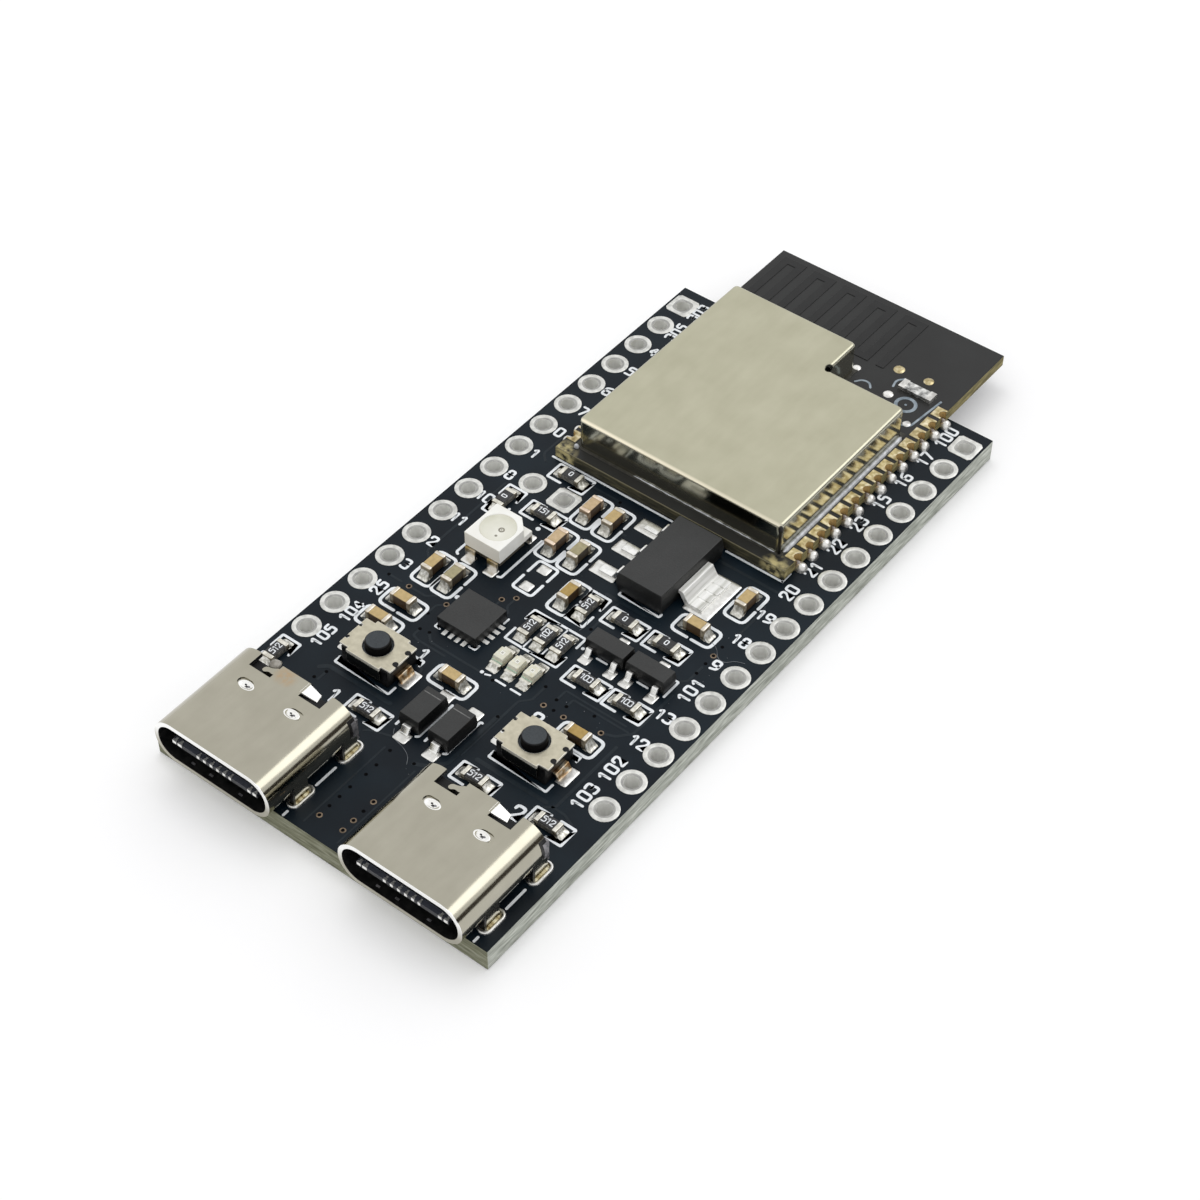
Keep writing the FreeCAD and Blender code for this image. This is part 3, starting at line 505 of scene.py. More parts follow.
# Header lands: each hole is plated through, and hot-air levelling left bright tin on
# the ring and down the barrel. The first pin of each row has a square land.
def tinned(name, dull, grain=2600, depth=0.010, colours=((0.66, 0.655, 0.63), (0.84, 0.835, 0.81))):
    """Bright tin or solder with the slight waves it sets with."""
    return Finish(name, (grain, 3), colours, (dull, dull + 0.16), 1.0, depth, levels=(0.30, 0.62))


hole_pitch = 2.54
grid = 0.254
row_x = 11.43
land_radius = 0.925
hole_radius = 0.52
barrel_radius = 0.495
land_sides = 24
land_crown = 0.036
pin_ys = [(7.5 - k) * hole_pitch for k in range(16)]


def plated_hole(bm, x, y, square):
    """A crowned land round the hole, and the barrel down through the board."""
    if square:
        half = land_radius - 0.01
        reaches = [(px, py, half / max(abs(px), abs(py))) for px, py in circle(0, 0, 1, land_sides)]
        outer = [(x + px * reach, y + py * reach) for px, py, reach in reaches]
    else:
        outer = circle(x, y, land_radius, land_sides)
    inner = circle(x, y, barrel_radius, land_sides)
    rings = []
    slope = ((1.0, 0.0), (0.985, 0.025), (0.92, land_crown), (0.44, land_crown), (0.34, 0.026), (0.0, 0.006))
    for share, z in slope:
        rings.append([(a + (c - a) * (1 - share), b + (d - b) * (1 - share), board_top + z)
                      for (a, b), (c, d) in zip(outer, inner)])
    for radius, z in ((barrel_radius, 0.0), (hole_radius, 0.0), (hole_radius, board_top)):
        rings.append(flat_ring(circle(x, y, radius, land_sides), z))
    sleeve(bm, rings, (0, 0, 0, 0, 2, 1, 1, 1, 0))


# The barrel takes a paler, matt copy of the tin: painted light in the bore. The slope into the hole takes a
# darker copy: painted shade at the hole's edge.
hole_tins = [
    tinned("land_tin", 0.34, colours=((0.54, 0.54, 0.515), (0.76, 0.76, 0.73))),
    Finish("lit_barrel_tin", (2400, 3, (1, 1, 0.3)), ((0.74, 0.74, 0.71), (0.93, 0.93, 0.90)),
           (0.28, 0.44), 0.12),
    Finish("shaded_slope_tin", (2400, 3), ((0.30, 0.30, 0.29), (0.44, 0.44, 0.42)), (0.34, 0.5), 0.7),
]
header = bmesh.new()
for x in (row_x, -row_x):
    for k, y in enumerate(pin_ys):
        plated_hole(header, x, y, k == 0)
piece("header_row_lands", header, hole_tins, ["header_lands"])
spare = bmesh.new()
for x, square in ((-33.5, False), (-23.5, True)):
    plated_hole(spare, x * grid, -3.6 * grid, square)
piece("spare_row_lands", spare, hole_tins, ["spare_header_lands"])


# Print: white ink, screened on the mask in one pass. It frames each part and numbers
# the pins, and its edges have spread a little.
ink_low = board_top - 0.002
ink_high = board_top + 0.014
glyphs = {
    "0": [((0.0, 0.0), (0.6, 0.0), (0.6, 1.0), (0.0, 1.0), (0.0, 0.0))],
    "1": [((0.10, 0.76), (0.36, 1.0), (0.36, 0.0))],
    "2": [((0.0, 0.74), (0.03, 1.0), (0.58, 1.0), (0.58, 0.60), (0.0, 0.0), (0.60, 0.0))],
    "3": [((0.0, 0.94), (0.12, 1.0), (0.57, 1.0), (0.57, 0.54), (0.24, 0.53)),
          ((0.24, 0.53), (0.60, 0.52), (0.60, 0.0), (0.08, 0.0), (0.0, 0.08))],
    "4": [((0.44, 0.0), (0.44, 1.0), (0.0, 0.30), (0.62, 0.30))],
    "5": [((0.56, 1.0), (0.06, 1.0), (0.04, 0.58), (0.59, 0.62), (0.59, 0.0), (0.0, 0.0))],
    "6": [((0.52, 1.0), (0.02, 0.86), (0.0, 0.0), (0.60, 0.0), (0.60, 0.56), (0.03, 0.54))],
    "7": [((0.0, 1.0), (0.60, 1.0), (0.20, 0.0))],
    "8": [((0.0, 0.0), (0.60, 0.0), (0.60, 0.52), (0.0, 0.52), (0.0, 0.0)),
          ((0.05, 0.52), (0.55, 0.52), (0.55, 1.0), (0.05, 1.0), (0.05, 0.52))],
    "9": [((0.08, 0.0), (0.58, 0.14), (0.60, 1.0), (0.0, 1.0), (0.0, 0.44), (0.57, 0.46))],
}


def number(bm, text, x, y, height, upright, thick, low, high, pitch=0.78):
    """Plain figures centred on a place, read across the board or along it."""
    step = height * pitch
    for k, figure in enumerate(text):
        start = (k - (len(text) - 1) / 2) * step - 0.3 * height
        for line in glyphs[figure]:
            closed = line[0] == line[-1]
            corners = [(start + a * height, (b - 0.5) * height) for a, b in (line[:-1] if closed else line)]
            stroke = rounded(corners, 0.20 * height, closed, 3)
            turned = [(p.x, p.y) if upright else (-p.y, p.x) for p in stroke]
            ribbon(bm, [(x + a, y + b) for a, b in turned], thick, low, high, closed)


pin_print = [
    (9.93, 0.76, (8, 9, 10, 12, 13),
     "100 17 16 15 23 22 21 20 19 18 9 101 13 12 102 103"),
    (-10.13, 0.70, (2, 3, 4, 5, 6, 7, 8, 9, 10, 11, 12),
     "303 305 4 5 6 7 0 1 8 10 11 2 3 25 104 105"),
]
ink = bmesh.new()
for x, turned_height, upright_pins, labels in pin_print:
    for k, label in enumerate(labels.split()):
        upright = k in upright_pins
        number(ink, label, x, pin_ys[k] + 0.06, 0.76 if upright else turned_height, upright, 0.172,
               ink_low, ink_high, 0.82 if upright else 0.92)


def ink_line(points, thick, radius=0.08):
    ribbon(ink, rounded(points, radius), thick, ink_low, ink_high)


def frame_print(x, y, upright, half_long, half_wide, radius, gap, thick):
    """Two brackets that frame a small part, with a gap at the middle of each long side."""
    for side in (-1, 1):
        line = [(side * gap / 2, -half_wide), (side * half_long, -half_wide),
                (side * half_long, half_wide), (side * gap / 2, half_wide)]
        ink_line([(x + b, y + a) if upright else (x + a, y + b) for a, b in line], thick, radius)


# Each capacitor's and resistor's place on the grid, whether it lies along the board, and
# the capacitor's ceramic or the resistor's figures.
capacitor_places = [(x * grid, y * grid, upright, ceramic) for x, y, upright, ceramic in (
    (-15.4, -2.8, 1, 2), (-8.5, -2.8, 1, 1), (-15.2, -16.9, 1, 2), (-8.3, -16.9, 1, 3), (33.3, -4.5, 1, 1),
    (-1.6, -29.1, 1, 0), (-33.5, -41.9, 1, 1), (-27.2, -41.9, 1, 3), (28.9, -18.7, 0, 1),
    (-31.5, -55.3, 0, 1), (-32.3, -63.3, 0, 1), (-6.2, -67.1, 0, 1), (27.8, -62.8, 0, 0),
)]
resistor_places = [(x * grid, y * grid, upright, figures) for x, y, upright, figures in (
    (-35.0, -13.0, 1, "0"), (4.1, -29.1, 1, "512"), (-2.5, -43.0, 1, "512"), (2.4, -43.0, 1, "102"),
    (7.3, -43.0, 1, "512"), (-44.7, -86.0, 1, "512"), (-26.8, 3.5, 0, "0"), (-24.0, -11.0, 0, "151"),
    (14.2, -27.5, 0, "0"), (26.6, -27.5, 0, "0"), (18.6, -48.0, 0, "103"), (30.5, -48.0, 0, "103"),
    (-15.6, -86.4, 0, "512"), (16.9, -86.4, 0, "512"), (38.2, -86.4, 0, "512"),
)]
row_of_three = -43.0 * grid
for x, y, upright, _ in capacitor_places:
    frame_print(x, y, upright, 1.45, 0.77, 0.42, 0.34, 0.215)
for x, y, upright, _ in resistor_places:
    if y != row_of_three:
        frame_print(x, y, upright, 1.40, 0.70, 0.07, 0.72, 0.19)
frame_print(-3.07, -7.37, True, 1.38, 0.76, 0.25, 0.45, 0.20)
part_lines = [
    (0.16, (-9.05, 1.83), (1.1, 1.83)), (0.16, (4.8, 1.83), (9.05, 1.83)), (0.16, (9.05, 1.83), (9.05, 2.7)),
    (0.17, (1.8, -5.0), (1.8, -5.26), (4.88, -5.26), (4.88, -5.0)),
    (0.18, (-4.78, -4.62), (-4.78, -8.62), (-5.0, -8.7)), (0.18, (-8.38, -7.3), (-8.38, -8.6), (-8.2, -8.72)),
    (0.14, (-2.17, -11.05), (-2.17, -11.5)), (0.18, (-0.38, -18.45), (-0.38, -21.5), (-0.5, -21.58)),
    (0.18, (1.88, -18.42), (1.75, -18.42), (1.75, -21.5), (1.6, -21.58)),
    (0.18, (-2.05, -21.3), (-2.05, -21.55)), (0.18, (0.12, -21.25), (0.12, -21.5)),
    (0.13, (-0.45, -15.36), (-0.15, -15.25)), (0.15, (0.35, -15.33), (1.05, -15.33)),
    (0.15, (1.5, -15.33), (2.2, -15.33)),
    (0.15, (4.0, -10.25), (4.75, -10.25)), (0.15, (7.05, -10.25), (7.8, -10.25)),
    (0.16, (8.75, -8.75), (8.98, -8.75), (8.98, -10.2)),
]
for x, turn in ((-1.42, 1), (2.52, -1)):
    for outer, inner in ((-9.45, -10.35), (-12.35, -11.35)):
        part_lines.append((0.17, (x + turn * 1.97, outer), (x, outer), (x, inner)))
for x in (-0.07, 1.2):
    part_lines += [(0.11, (x, -9.5), (x, -10.5)), (0.11, (x, -11.5), (x, -12.3))]
for x in (-6.05, 5.89):
    for outer, near, far in ((-20.12, -19.62, -19.5), (-16.87, -17.3, -17.3)):
        part_lines.append((0.17, (x - 2.12, near), (x - 2.12, outer), (x + 2.12, outer), (x + 2.12, far)))
for x in (-2.6, 11.47):
    part_lines += [(0.17, (x, -26.22), (x, -27.85)), (0.17, (x, -30.28), (x, -30.62))]
for thick, *line in part_lines:
    ink_line(line, thick)
for line in ([(-5.33, -13.85), (-5.33, -14.25), (-4.95, -14.25)],
             [(-2.62, -14.25), (-2.17, -14.25), (-2.17, -13.85)]):
    ink_line(line, 0.14, 0.05)
for x, y, size in ((-5.65, -3.92, 0.17), (-5.83, -11.57, 0.17), (-0.72, -15.33, 0.13), (2.85, -10.15, 0.12)):
    post(ink, x, y, 12, [(size, ink_low), (size, ink_high)])
for text, x, y, tall in (("1", -4.35, -16.42, 0.9), ("2", 4.15, -16.2, 0.9), ("1", -6.4, -22.15, 1.0),
                         ("2", 7.7, -22.3, 1.0)):
    number(ink, text, x, y, tall, True, 0.20, ink_low, ink_high)
print_ink = Finish("print_ink", (1500, 4), ((0.72, 0.76, 0.79), (0.88, 0.91, 0.94)), (0.5, 0.7),
                   levels=(0.25, 0.55))
print_ink.uneven(print_ink.cloud(9000, 2), 0.006)
piece("board_print", ink, print_ink)


# Dust and fibres: a few pale specks and fine hairs lie on the mask, as on any board
# that was handled after cleaning.
speck_count = 70
dust = bmesh.new()
fall = random.Random(5)
open_mask = [
    (-11.9, -8.6, -29.5, -24.5), (-2.0, 2.0, -30.4, -23.5), (2.5, 10.2, -16.5, -14.0),
    (-10.2, -7.2, -16.0, -9.0), (-2.0, 1.2, -8.6, -5.5), (8.7, 10.4, -12.0, -2.0),
    (-9.0, 3.4, -17.0, -15.0), (-4.4, -0.8, -8.6, -4.0),
]
for _ in range(speck_count):
    x0, x1, y0, y1 = fall.choice(open_mask)
    x, y, size = fall.uniform(x0, x1), fall.uniform(y0, y1), fall.uniform(0.012, 0.035)
    post(dust, x, y, 5, [(size, board_top + 0.002), (size, board_top + 0.016)])
hairs = [
    [(8.55, -4.9), (9.2, -5.15), (9.6, -5.75), (10.2, -5.85), (10.6, -5.3), (11.2, -5.1)],
    [(-1.9, -21.9), (-1.5, -22.5), (-0.7, -22.6), (0.1, -22.95), (0.45, -23.5)],
    [(1.6, -8.1), (1.9, -8.6), (1.75, -9.1)],
]
for line in hairs:
    ribbon(dust, rounded(line, 0.5), 0.028, board_top + 0.003, board_top + 0.020)
lint = Finish("pale_lint", (1800, 3), ((0.045, 0.050, 0.056), (0.22, 0.24, 0.26)), 0.8)
piece("board_dust", dust, lint)


# Lands for leaded parts: tin left by hot-air levelling stands a little crowned on each.
# One part was never fitted, so its two lands are bare.
def islands(node):
    """The lowest and highest corner of each separate solid in a node, in millimetres."""
    bm = bmesh.new()
    bm.from_mesh(nodes[node].data)
    bmesh.ops.remove_doubles(bm, verts=bm.verts, dist=0.001 * mm)
    bm.verts.ensure_lookup_table()
    waiting = set(range(len(bm.verts)))
    found = []
    while waiting:
        seed = min(waiting)
        waiting.discard(seed)
        group, edge = [seed], [seed]
        while edge:
            for link in bm.verts[edge.pop()].link_edges:
                for vert in link.verts:
                    if vert.index in waiting:
                        waiting.discard(vert.index)
                        group.append(vert.index)
                        edge.append(vert.index)
        corners = [bm.verts[i].co / mm for i in group]
        found.append([Vector([pick(p[a] for p in corners) for a in range(3)]) for pick in (min, max)])
    bm.free()
    return found


def rounded_rectangle(x0, x1, y0, y1, radius, steps=4):
    points = []
    for cx, cy, start in ((x1 - radius, y1 - radius, 0), (x0 + radius, y1 - radius, 90),
                          (x0 + radius, y0 + radius, 180), (x1 - radius, y0 + radius, 270)):
        for k in range(steps + 1):
            turn = math.radians(start + 90 * k / steps)
            points.append((cx + radius * math.cos(turn), cy + radius * math.sin(turn)))
    return points


def inset_ring(low, high, inset, radius, height, steps=4):
    """A rounded outline drawn in from the edges of a box."""
    outline = rounded_rectangle(low.x + inset, high.x - inset, low.y + inset, high.y - inset, radius, steps)
    return flat_ring(outline, height)


solder_crown = 0.075
part_tin = tinned("part_tin", 0.26, 3200, 0.02)
crowned = bmesh.new()
for low, high in islands("part_lands"):
    rings = []
    for inset, rise in ((0.0, 0.0), (0.0, 0.35), (0.05, 0.7), (0.13, 0.92), (0.26, 1.0)):
        inset = min(inset, (high.x - low.x) * 0.42, (high.y - low.y) * 0.42)
        rings.append(inset_ring(low, high, inset, max(0.12 - inset, 0.03), low.z + rise * solder_crown))
    stack(crowned, rings)
piece("part_solder_lands", crowned, part_tin, ["part_lands"])


# Solder of the chip parts: paste melted at each end and climbed the metal, so a hollow
# slope runs from the end cap down to the land. It is rougher where flux burned off.
def solder_slope(bm, x, y, aim, width, reach, rise, toe, index=0):
    """A hollow slope of solder from a wall at a place out towards an aim."""
    aim = Vector(aim)
    side = Vector((-aim.y, aim.x))
    section = [(-1, 0.0), (-1, 0.5), (-0.86, 0.84), (-0.5, 0.97), (0, 1.0),
               (0.5, 0.97), (0.86, 0.84), (1, 0.5), (1, 0.0)]
    waist = 0.9
    rings = []
    for row in range(8):
        t = row / 7
        flare = waist + (1 - waist) * min(1.0, 3 * t)
        half = width / 2 * flare * (1 - 0.16 * max(0.0, (t - 0.7) / 0.3) ** 2)
        height = toe + (rise - toe) * (1 - t) ** 1.9
        centre = Vector((x, y)) + aim * reach * t
        points = [(centre + side * half * share, part) for share, part in section]
        rings.append([(point.x, point.y, board_top + height * part) for point, part in points])
    stack(bm, rings, index)


chip_half = 0.8
indicator_places = [(x * grid, -54.4 * grid) for x in (-1.5, 3.0, 7.5)]
fillets = bmesh.new()
for places, rise in ((capacitor_places, 0.62), (resistor_places, 0.40)):
    for x, y, upright, _ in places:
        for sign in (-1, 1):
            aim = (0, sign) if upright else (sign, 0)
            for start, reach, height, toe in ((0.26, 0.68, 0.035, 0.03), (0.01, 0.43, rise, 0.05)):
                foot = [place + step * (chip_half - start) for place, step in zip((x, y), aim)]
                solder_slope(fillets, *foot, aim, 0.8, reach, height, toe)
for x, y in indicator_places:
    for sign in (-1, 1):
        solder_slope(fillets, x, y + sign * (chip_half - 0.28), (0, sign), 0.8, 0.70, 0.035, 0.03)
        solder_slope(fillets, x, y + sign * (chip_half - 0.01), (0, sign), 0.74, 0.43, 0.34, 0.06)
chip_solder = Finish("chip_solder", (5200, 4), ((0.34, 0.33, 0.28), (0.62, 0.61, 0.56), (0.84, 0.83, 0.79)),
                     metal=0.95, relief=0.03, levels=(0.32, 0.50, 0.66))
chip_solder.set("Roughness", chip_solder.span(chip_solder.cloud(900, 2), 0.24, 0.46))
piece("chip_solder_slopes", fillets, chip_solder, ["chip_solder"])


# Chip capacitors: a fired block of barium titanate, tan to ochre from batch to batch,
# with a dipped, rounded tin cap on each end.
def toned(colour, shares):
    return tuple(value * share for value, share in zip(colour, shares))


def fired_ceramic(name, dark, light):
    finish = Finish(name, (3800, 4), (dark, light), (0.34, 0.52), shine=0.35)
    finish.shaded_sides(toned(dark, (0.13, 0.10, 0.08)))
    finish.uneven(finish.cloud(12000, 2), 0.006)
    return finish


def dipped_tin(name, dark, light):
    finish = Finish(name, (4200, 3), (dark, light), (0.22, 0.42), 0.8, 0.014, levels=(0.32, 0.64))
    finish.shaded_sides(toned(dark, (0.55, 0.50, 0.42)))
    return finish


def brick(bm, low, high, index=0):
    corners = [(low[0], low[1]), (high[0], low[1]), (high[0], high[1]), (low[0], high[1])]
    slab(bm, corners, low[2], high[2], index)


def chip_block(bm, x, y, upright, half_long, half_wide, low, high, index=0):
    """A block of a chip part, which lies across the board or along it."""
    half_x, half_y = (half_wide, half_long) if upright else (half_long, half_wide)
    brick(bm, (x - half_x, y - half_y, low), (x + half_x, y + half_y, high), index)


def end_caps(bm, x, y, upright, inner, top, index=0):
    """The two tin ends of a chip part, from an inner line out to just past its length."""
    half, foot = 0.4, 1.64
    for sign in (-1, 1):
        start, end = sorted((sign * inner, sign * 0.805))
        if upright:
            brick(bm, (x - half, y + start, foot), (x + half, y + end, top), index)
        else:
            brick(bm, (x + start, y - half, foot), (x + end, y + half, top), index)


ceramics = [
    fired_ceramic("ochre_ceramic", (0.36, 0.235, 0.065), (0.46, 0.315, 0.100)),
    fired_ceramic("tan_ceramic", (0.46, 0.335, 0.150), (0.58, 0.430, 0.205)),
    fired_ceramic("pink_ceramic", (0.50, 0.365, 0.205), (0.62, 0.465, 0.285)),
    fired_ceramic("olive_ceramic", (0.30, 0.265, 0.150), (0.42, 0.370, 0.220)),
]
pink = 2
cap_tins = [dipped_tin("cap_tin", (0.60, 0.55, 0.46), (0.84, 0.79, 0.70)),
            dipped_tin("cap_tin_pink", (0.70, 0.55, 0.42), (0.88, 0.74, 0.60))]
blocks = bmesh.new()
caps = bmesh.new()
for x, y, upright, ceramic in capacitor_places:
    chip_block(blocks, x, y, upright, 0.53, 0.37, 1.67, 2.41, ceramic)
    end_caps(caps, x, y, upright, 0.5, 2.44, 1 if ceramic == pink else 0)
piece("capacitor_blocks", blocks, ceramics, ["capacitor_bodies"], bevel=0.05)
piece("capacitor_caps", caps, cap_tins, ["capacitor_terminals"], bevel=0.085, rounds=3)


# Chip resistors: a white alumina slip with a black glass glaze on top, its value
# printed in figures, and a wrapped tin end at each side.
alumina = Finish("alumina", (5000, 3), ((0.040, 0.039, 0.036), (0.19, 0.185, 0.165)), 0.6, levels=(0.3, 0.66))
black_glaze = Finish("black_glaze", (3000, 3), ((0.010, 0.010, 0.011), (0.026, 0.026, 0.028)), (0.30, 0.48),
                     relief=0.015)
end_tin = dipped_tin("end_tin", (0.58, 0.56, 0.49), (0.84, 0.82, 0.74))
slips, glazes, codes, ends = [bmesh.new() for _ in range(4)]
for x, y, upright, figures in resistor_places:
    chip_block(slips, x, y, upright, 0.52, 0.39, 1.65, 2.02)
    chip_block(glazes, x, y, upright, 0.50, 0.37, 2.015, 2.085)
    number(codes, figures, x, y, 0.40 if len(figures) > 1 else 0.34, not upright, 0.068, 2.07, 2.092, 0.70)
    end_caps(ends, x, y, upright, 0.49, 2.075)
piece("resistor_slips", slips, alumina, ["resistor_bodies"], bevel=0.02)
piece("resistor_glaze", glazes, black_glaze, ["resistor_glazes"], bevel=0.03)
piece("resistor_figures", codes, print_ink)
piece("resistor_ends", ends, end_tin, ["resistor_terminals"], bevel=0.05)


# Indicator lamps: a clear epoxy top cast on a thin cream board, with gilt ends that
# take the solder. The small square of the die shows through the epoxy.
cream_board = Finish("cream_board", (3000, 3), ((0.56, 0.52, 0.38), (0.72, 0.69, 0.56)), 0.55)
cast_epoxy = Finish("cast_epoxy", (2400, 3), ((0.64, 0.62, 0.48), (0.80, 0.79, 0.68)), (0.16, 0.3))
cast_epoxy.set("Subsurface Weight", 0.25)
cast_epoxy.set("Subsurface Radius", (0.4 * mm, 0.35 * mm, 0.25 * mm))
cast_epoxy.set("Coat Weight", 0.4)
die_tones = [
    Finish("die_glow", (5000, 1), ((0.80, 0.80, 0.74), (0.88, 0.88, 0.84)), 0.3),
    Finish("die_shade", (5000, 1), ((0.40, 0.39, 0.33), (0.50, 0.49, 0.42)), 0.4),
    Finish("green_tint", (4000, 2), ((0.36, 0.50, 0.40), (0.50, 0.62, 0.50)), 0.4),
]
bases, tops, windows = [bmesh.new() for _ in range(3)]
top_profile = ((0.385, 0.5, 1.885), (0.385, 0.5, 2.0), (0.355, 0.43, 2.19), (0.32, 0.40, 2.20))
for x, y in indicator_places:
    brick(bases, (x - 0.4, y - 0.51, 1.64), (x + 0.4, y + 0.51, 1.89))
    stack(tops, [flat_ring(rounded_rectangle(x - across, x + across, y - along, y + along, 0.05), z)
                 for across, along, z in top_profile])
    brick(windows, (x - 0.13, y - 0.10, 2.19), (x + 0.13, y + 0.16, 2.204), 0)
    brick(windows, (x - 0.07, y - 0.04, 2.2), (x + 0.07, y + 0.10, 2.207), 1)
    brick(windows, (x - 0.39, y - 0.56, 1.88), (x + 0.39, y - 0.46, 1.93), 2)
piece("indicator_bases", bases, cream_board, ["indicator_boards"])
piece("indicator_tops", tops, cast_epoxy, ["indicator_lenses"])
piece("indicator_dies", windows, die_tones)


def dressed(node, name, finishes, bevel=0.03, body="root", rounds=2, angle=35.0, reshape=None):
    """A piece of the frame with its facets joined and its edges rounded."""
    bm = bmesh.new()
    bm.from_mesh(nodes[node].data)
    bmesh.ops.remove_doubles(bm, verts=bm.verts, dist=0.001 * mm)
    bmesh.ops.dissolve_limit(bm, angle_limit=math.radians(0.4), verts=bm.verts, edges=bm.edges)
    bmesh.ops.scale(bm, vec=(1 / mm, 1 / mm, 1 / mm), verts=bm.verts)
    if reshape:
        reshape(bm)
    return piece(name, bm, finishes, [node], body, bevel=bevel, rounds=rounds, angle=angle)


dressed("indicator_terminals", "indicator_ends", end_tin, 0.04)


# Three-colour lamp: a white moulded cup on four bent leads, filled with milky epoxy.
# The moulding's chamfered corner marks the first lead.
white_cup = Finish("white_cup", (700, 3), ((0.86, 0.85, 0.795), (0.94, 0.94, 0.905)), (0.42, 0.55))
# Faces that look along the board's length, the near and far walls, are painted a darker beige: painted shade.
white_cup.over(white_cup.sums("GREATER_THAN", white_cup.facing("Y"), 0.7), (0.86, 0.83, 0.74))
# Below z 2.30 the cup is painted near-black: painted shade in the undercut beneath it.
white_cup.over(white_cup.below("Z", 2.30), (0.10, 0.09, 0.07))
white_cup.uneven(white_cup.cloud(8000, 2), 0.005)
milky_epoxy = Finish("milky_epoxy", (1200, 2), ((0.60, 0.590, 0.470), (0.70, 0.695, 0.585)), (0.10, 0.18))
milky_epoxy.over(milky_epoxy.patch((-6.15, -7.15, 3.45), 1.5), (0.84, 0.83, 0.75))
milky_epoxy.set("Coat Weight", 0.5)
lamp_die = Finish("lamp_die", (5000, 2), ((0.20, 0.19, 0.15), (0.34, 0.32, 0.26)), 0.4)
warm_tin = tinned("warm_tin", 0.25, colours=((0.66, 0.625, 0.57), (0.84, 0.805, 0.75)))
scorched = warm_tin.times(warm_tin.rising("Z", 1.95, 2.15),
                          warm_tin.span(warm_tin.cloud(1600, 3), 0.45, 1.0, 0.35, 0.6))
warm_tin.over(scorched, (0.42, 0.31, 0.13))


def undercut(bm):
    """The cup's foot stands in from its walls, so that the leads can bend under it."""
    for level in (2.34, 2.40):
        whole = bm.verts[:] + bm.edges[:] + bm.faces[:]
        bmesh.ops.bisect_plane(bm, geom=whole, plane_co=(0, 0, level), plane_no=(0, 0, 1))
    centre = Vector((-6.48, -6.78))
    for vert in bm.verts:
        if vert.co.z < 2.37:
            vert.co.xy = centre + (vert.co.xy - centre) * 0.76


dressed("rgb_lamp_housing", "lamp_cup", white_cup, 0.05, reshape=undercut)
dressed("rgb_lamp_lens", "lamp_epoxy", milky_epoxy, 0.02)
clad("rgb_lamp_dies", lamp_die)
lens_top = 3.456
specks = bmesh.new()
bubble = [(0.10, lens_top - 0.005), (0.115, lens_top), (0.20, lens_top), (0.22, lens_top - 0.007)]
hoop(specks, -6.19, -6.80, 14, bubble)
post(specks, -6.19, -6.80, 8, [(0.055, lens_top - 0.007), (0.05, lens_top)])
post(specks, -6.15, -7.40, 9, [(0.10, lens_top - 0.007), (0.08, lens_top)])
piece("rgb_lamp_specks", specks, lamp_die)
dressed("rgb_lamp_leads", "lamp_leads", warm_tin)


# Regulator, bridge chip, diodes and transistors: chips on copper frames, moulded in
# charcoal epoxy. The frames are cropped, bent to feet and plated with bright tin.
def moulding(name, dark, light, shine=0.5):
    finish = Finish(name, shine=shine)
    grit = finish.cloud(11000, 2)
    wash = finish.cloud(600, 3)
    mixed = finish.sums("ADD", finish.times(grit, 0.5), finish.times(wash, 0.5))
    finish.set("Base Color", finish.tones(mixed, (0.35, 0.65), (dark, light)))
    finish.set("Roughness", finish.span(wash, 0.40, 0.54))
    finish.shaded_sides(toned(dark, (0.25, 0.25, 0.25)))
    finish.uneven(grit, 0.012)
    return finish


charcoal = moulding("charcoal_epoxy", (0.012, 0.0125, 0.0125), (0.022, 0.0230, 0.0230))
lead_tin = tinned("lead_tin", 0.20, 2200, 0.012, ((0.74, 0.74, 0.72), (0.96, 0.96, 0.94)))
tab_tin = Finish("tab_tin", (3800, 3, (1, 0.05, 1)),
                 ((0.56, 0.56, 0.52), (0.84, 0.84, 0.81), (0.95, 0.95, 0.93)),
                 (0.30, 0.45), 0.30, 0.006, levels=(0.36, 0.50, 0.62))
laser_grey = Finish("laser_grey", (6000, 2), ((0.09, 0.09, 0.09), (0.19, 0.19, 0.185)), 0.7)
for node, name, finish, slot, bevel in (
    ("regulator_body", "regulator_case", charcoal, "chip_case", 0.05),
    ("regulator_leads", "regulator_feet", lead_tin, "lead_tin", 0.04),
    ("regulator_tab", "regulator_wide_tab", tab_tin, "lead_tin", 0.03),
    ("bridge_chip_lands", "bridge_chip_feet", tab_tin, "tinned", 0.02),
    ("bridge_chip_body", "bridge_chip_case", charcoal, "chip_case", 0.03),
    ("diode_bodies", "diode_cases", charcoal, "chip_case", 0.04),
    ("diode_leads", "diode_feet", lead_tin, "lead_tin", 0.03),
    ("transistor_bodies", "transistor_cases", charcoal, "chip_case", 0.04),
    ("transistor_leads", "transistor_feet", lead_tin, "lead_tin", 0.03),
):
    dressed(node, name, finish, bevel)
marks = bmesh.new()
for low, high in islands("diode_bodies"):
    stripe = [(low.x + 0.20, high.y - 0.50), (high.x - 0.20, high.y - 0.50)]
    ribbon(marks, stripe, 0.07, high.z - 0.004, high.z + 0.003)
piece("diode_bands", marks, laser_grey)


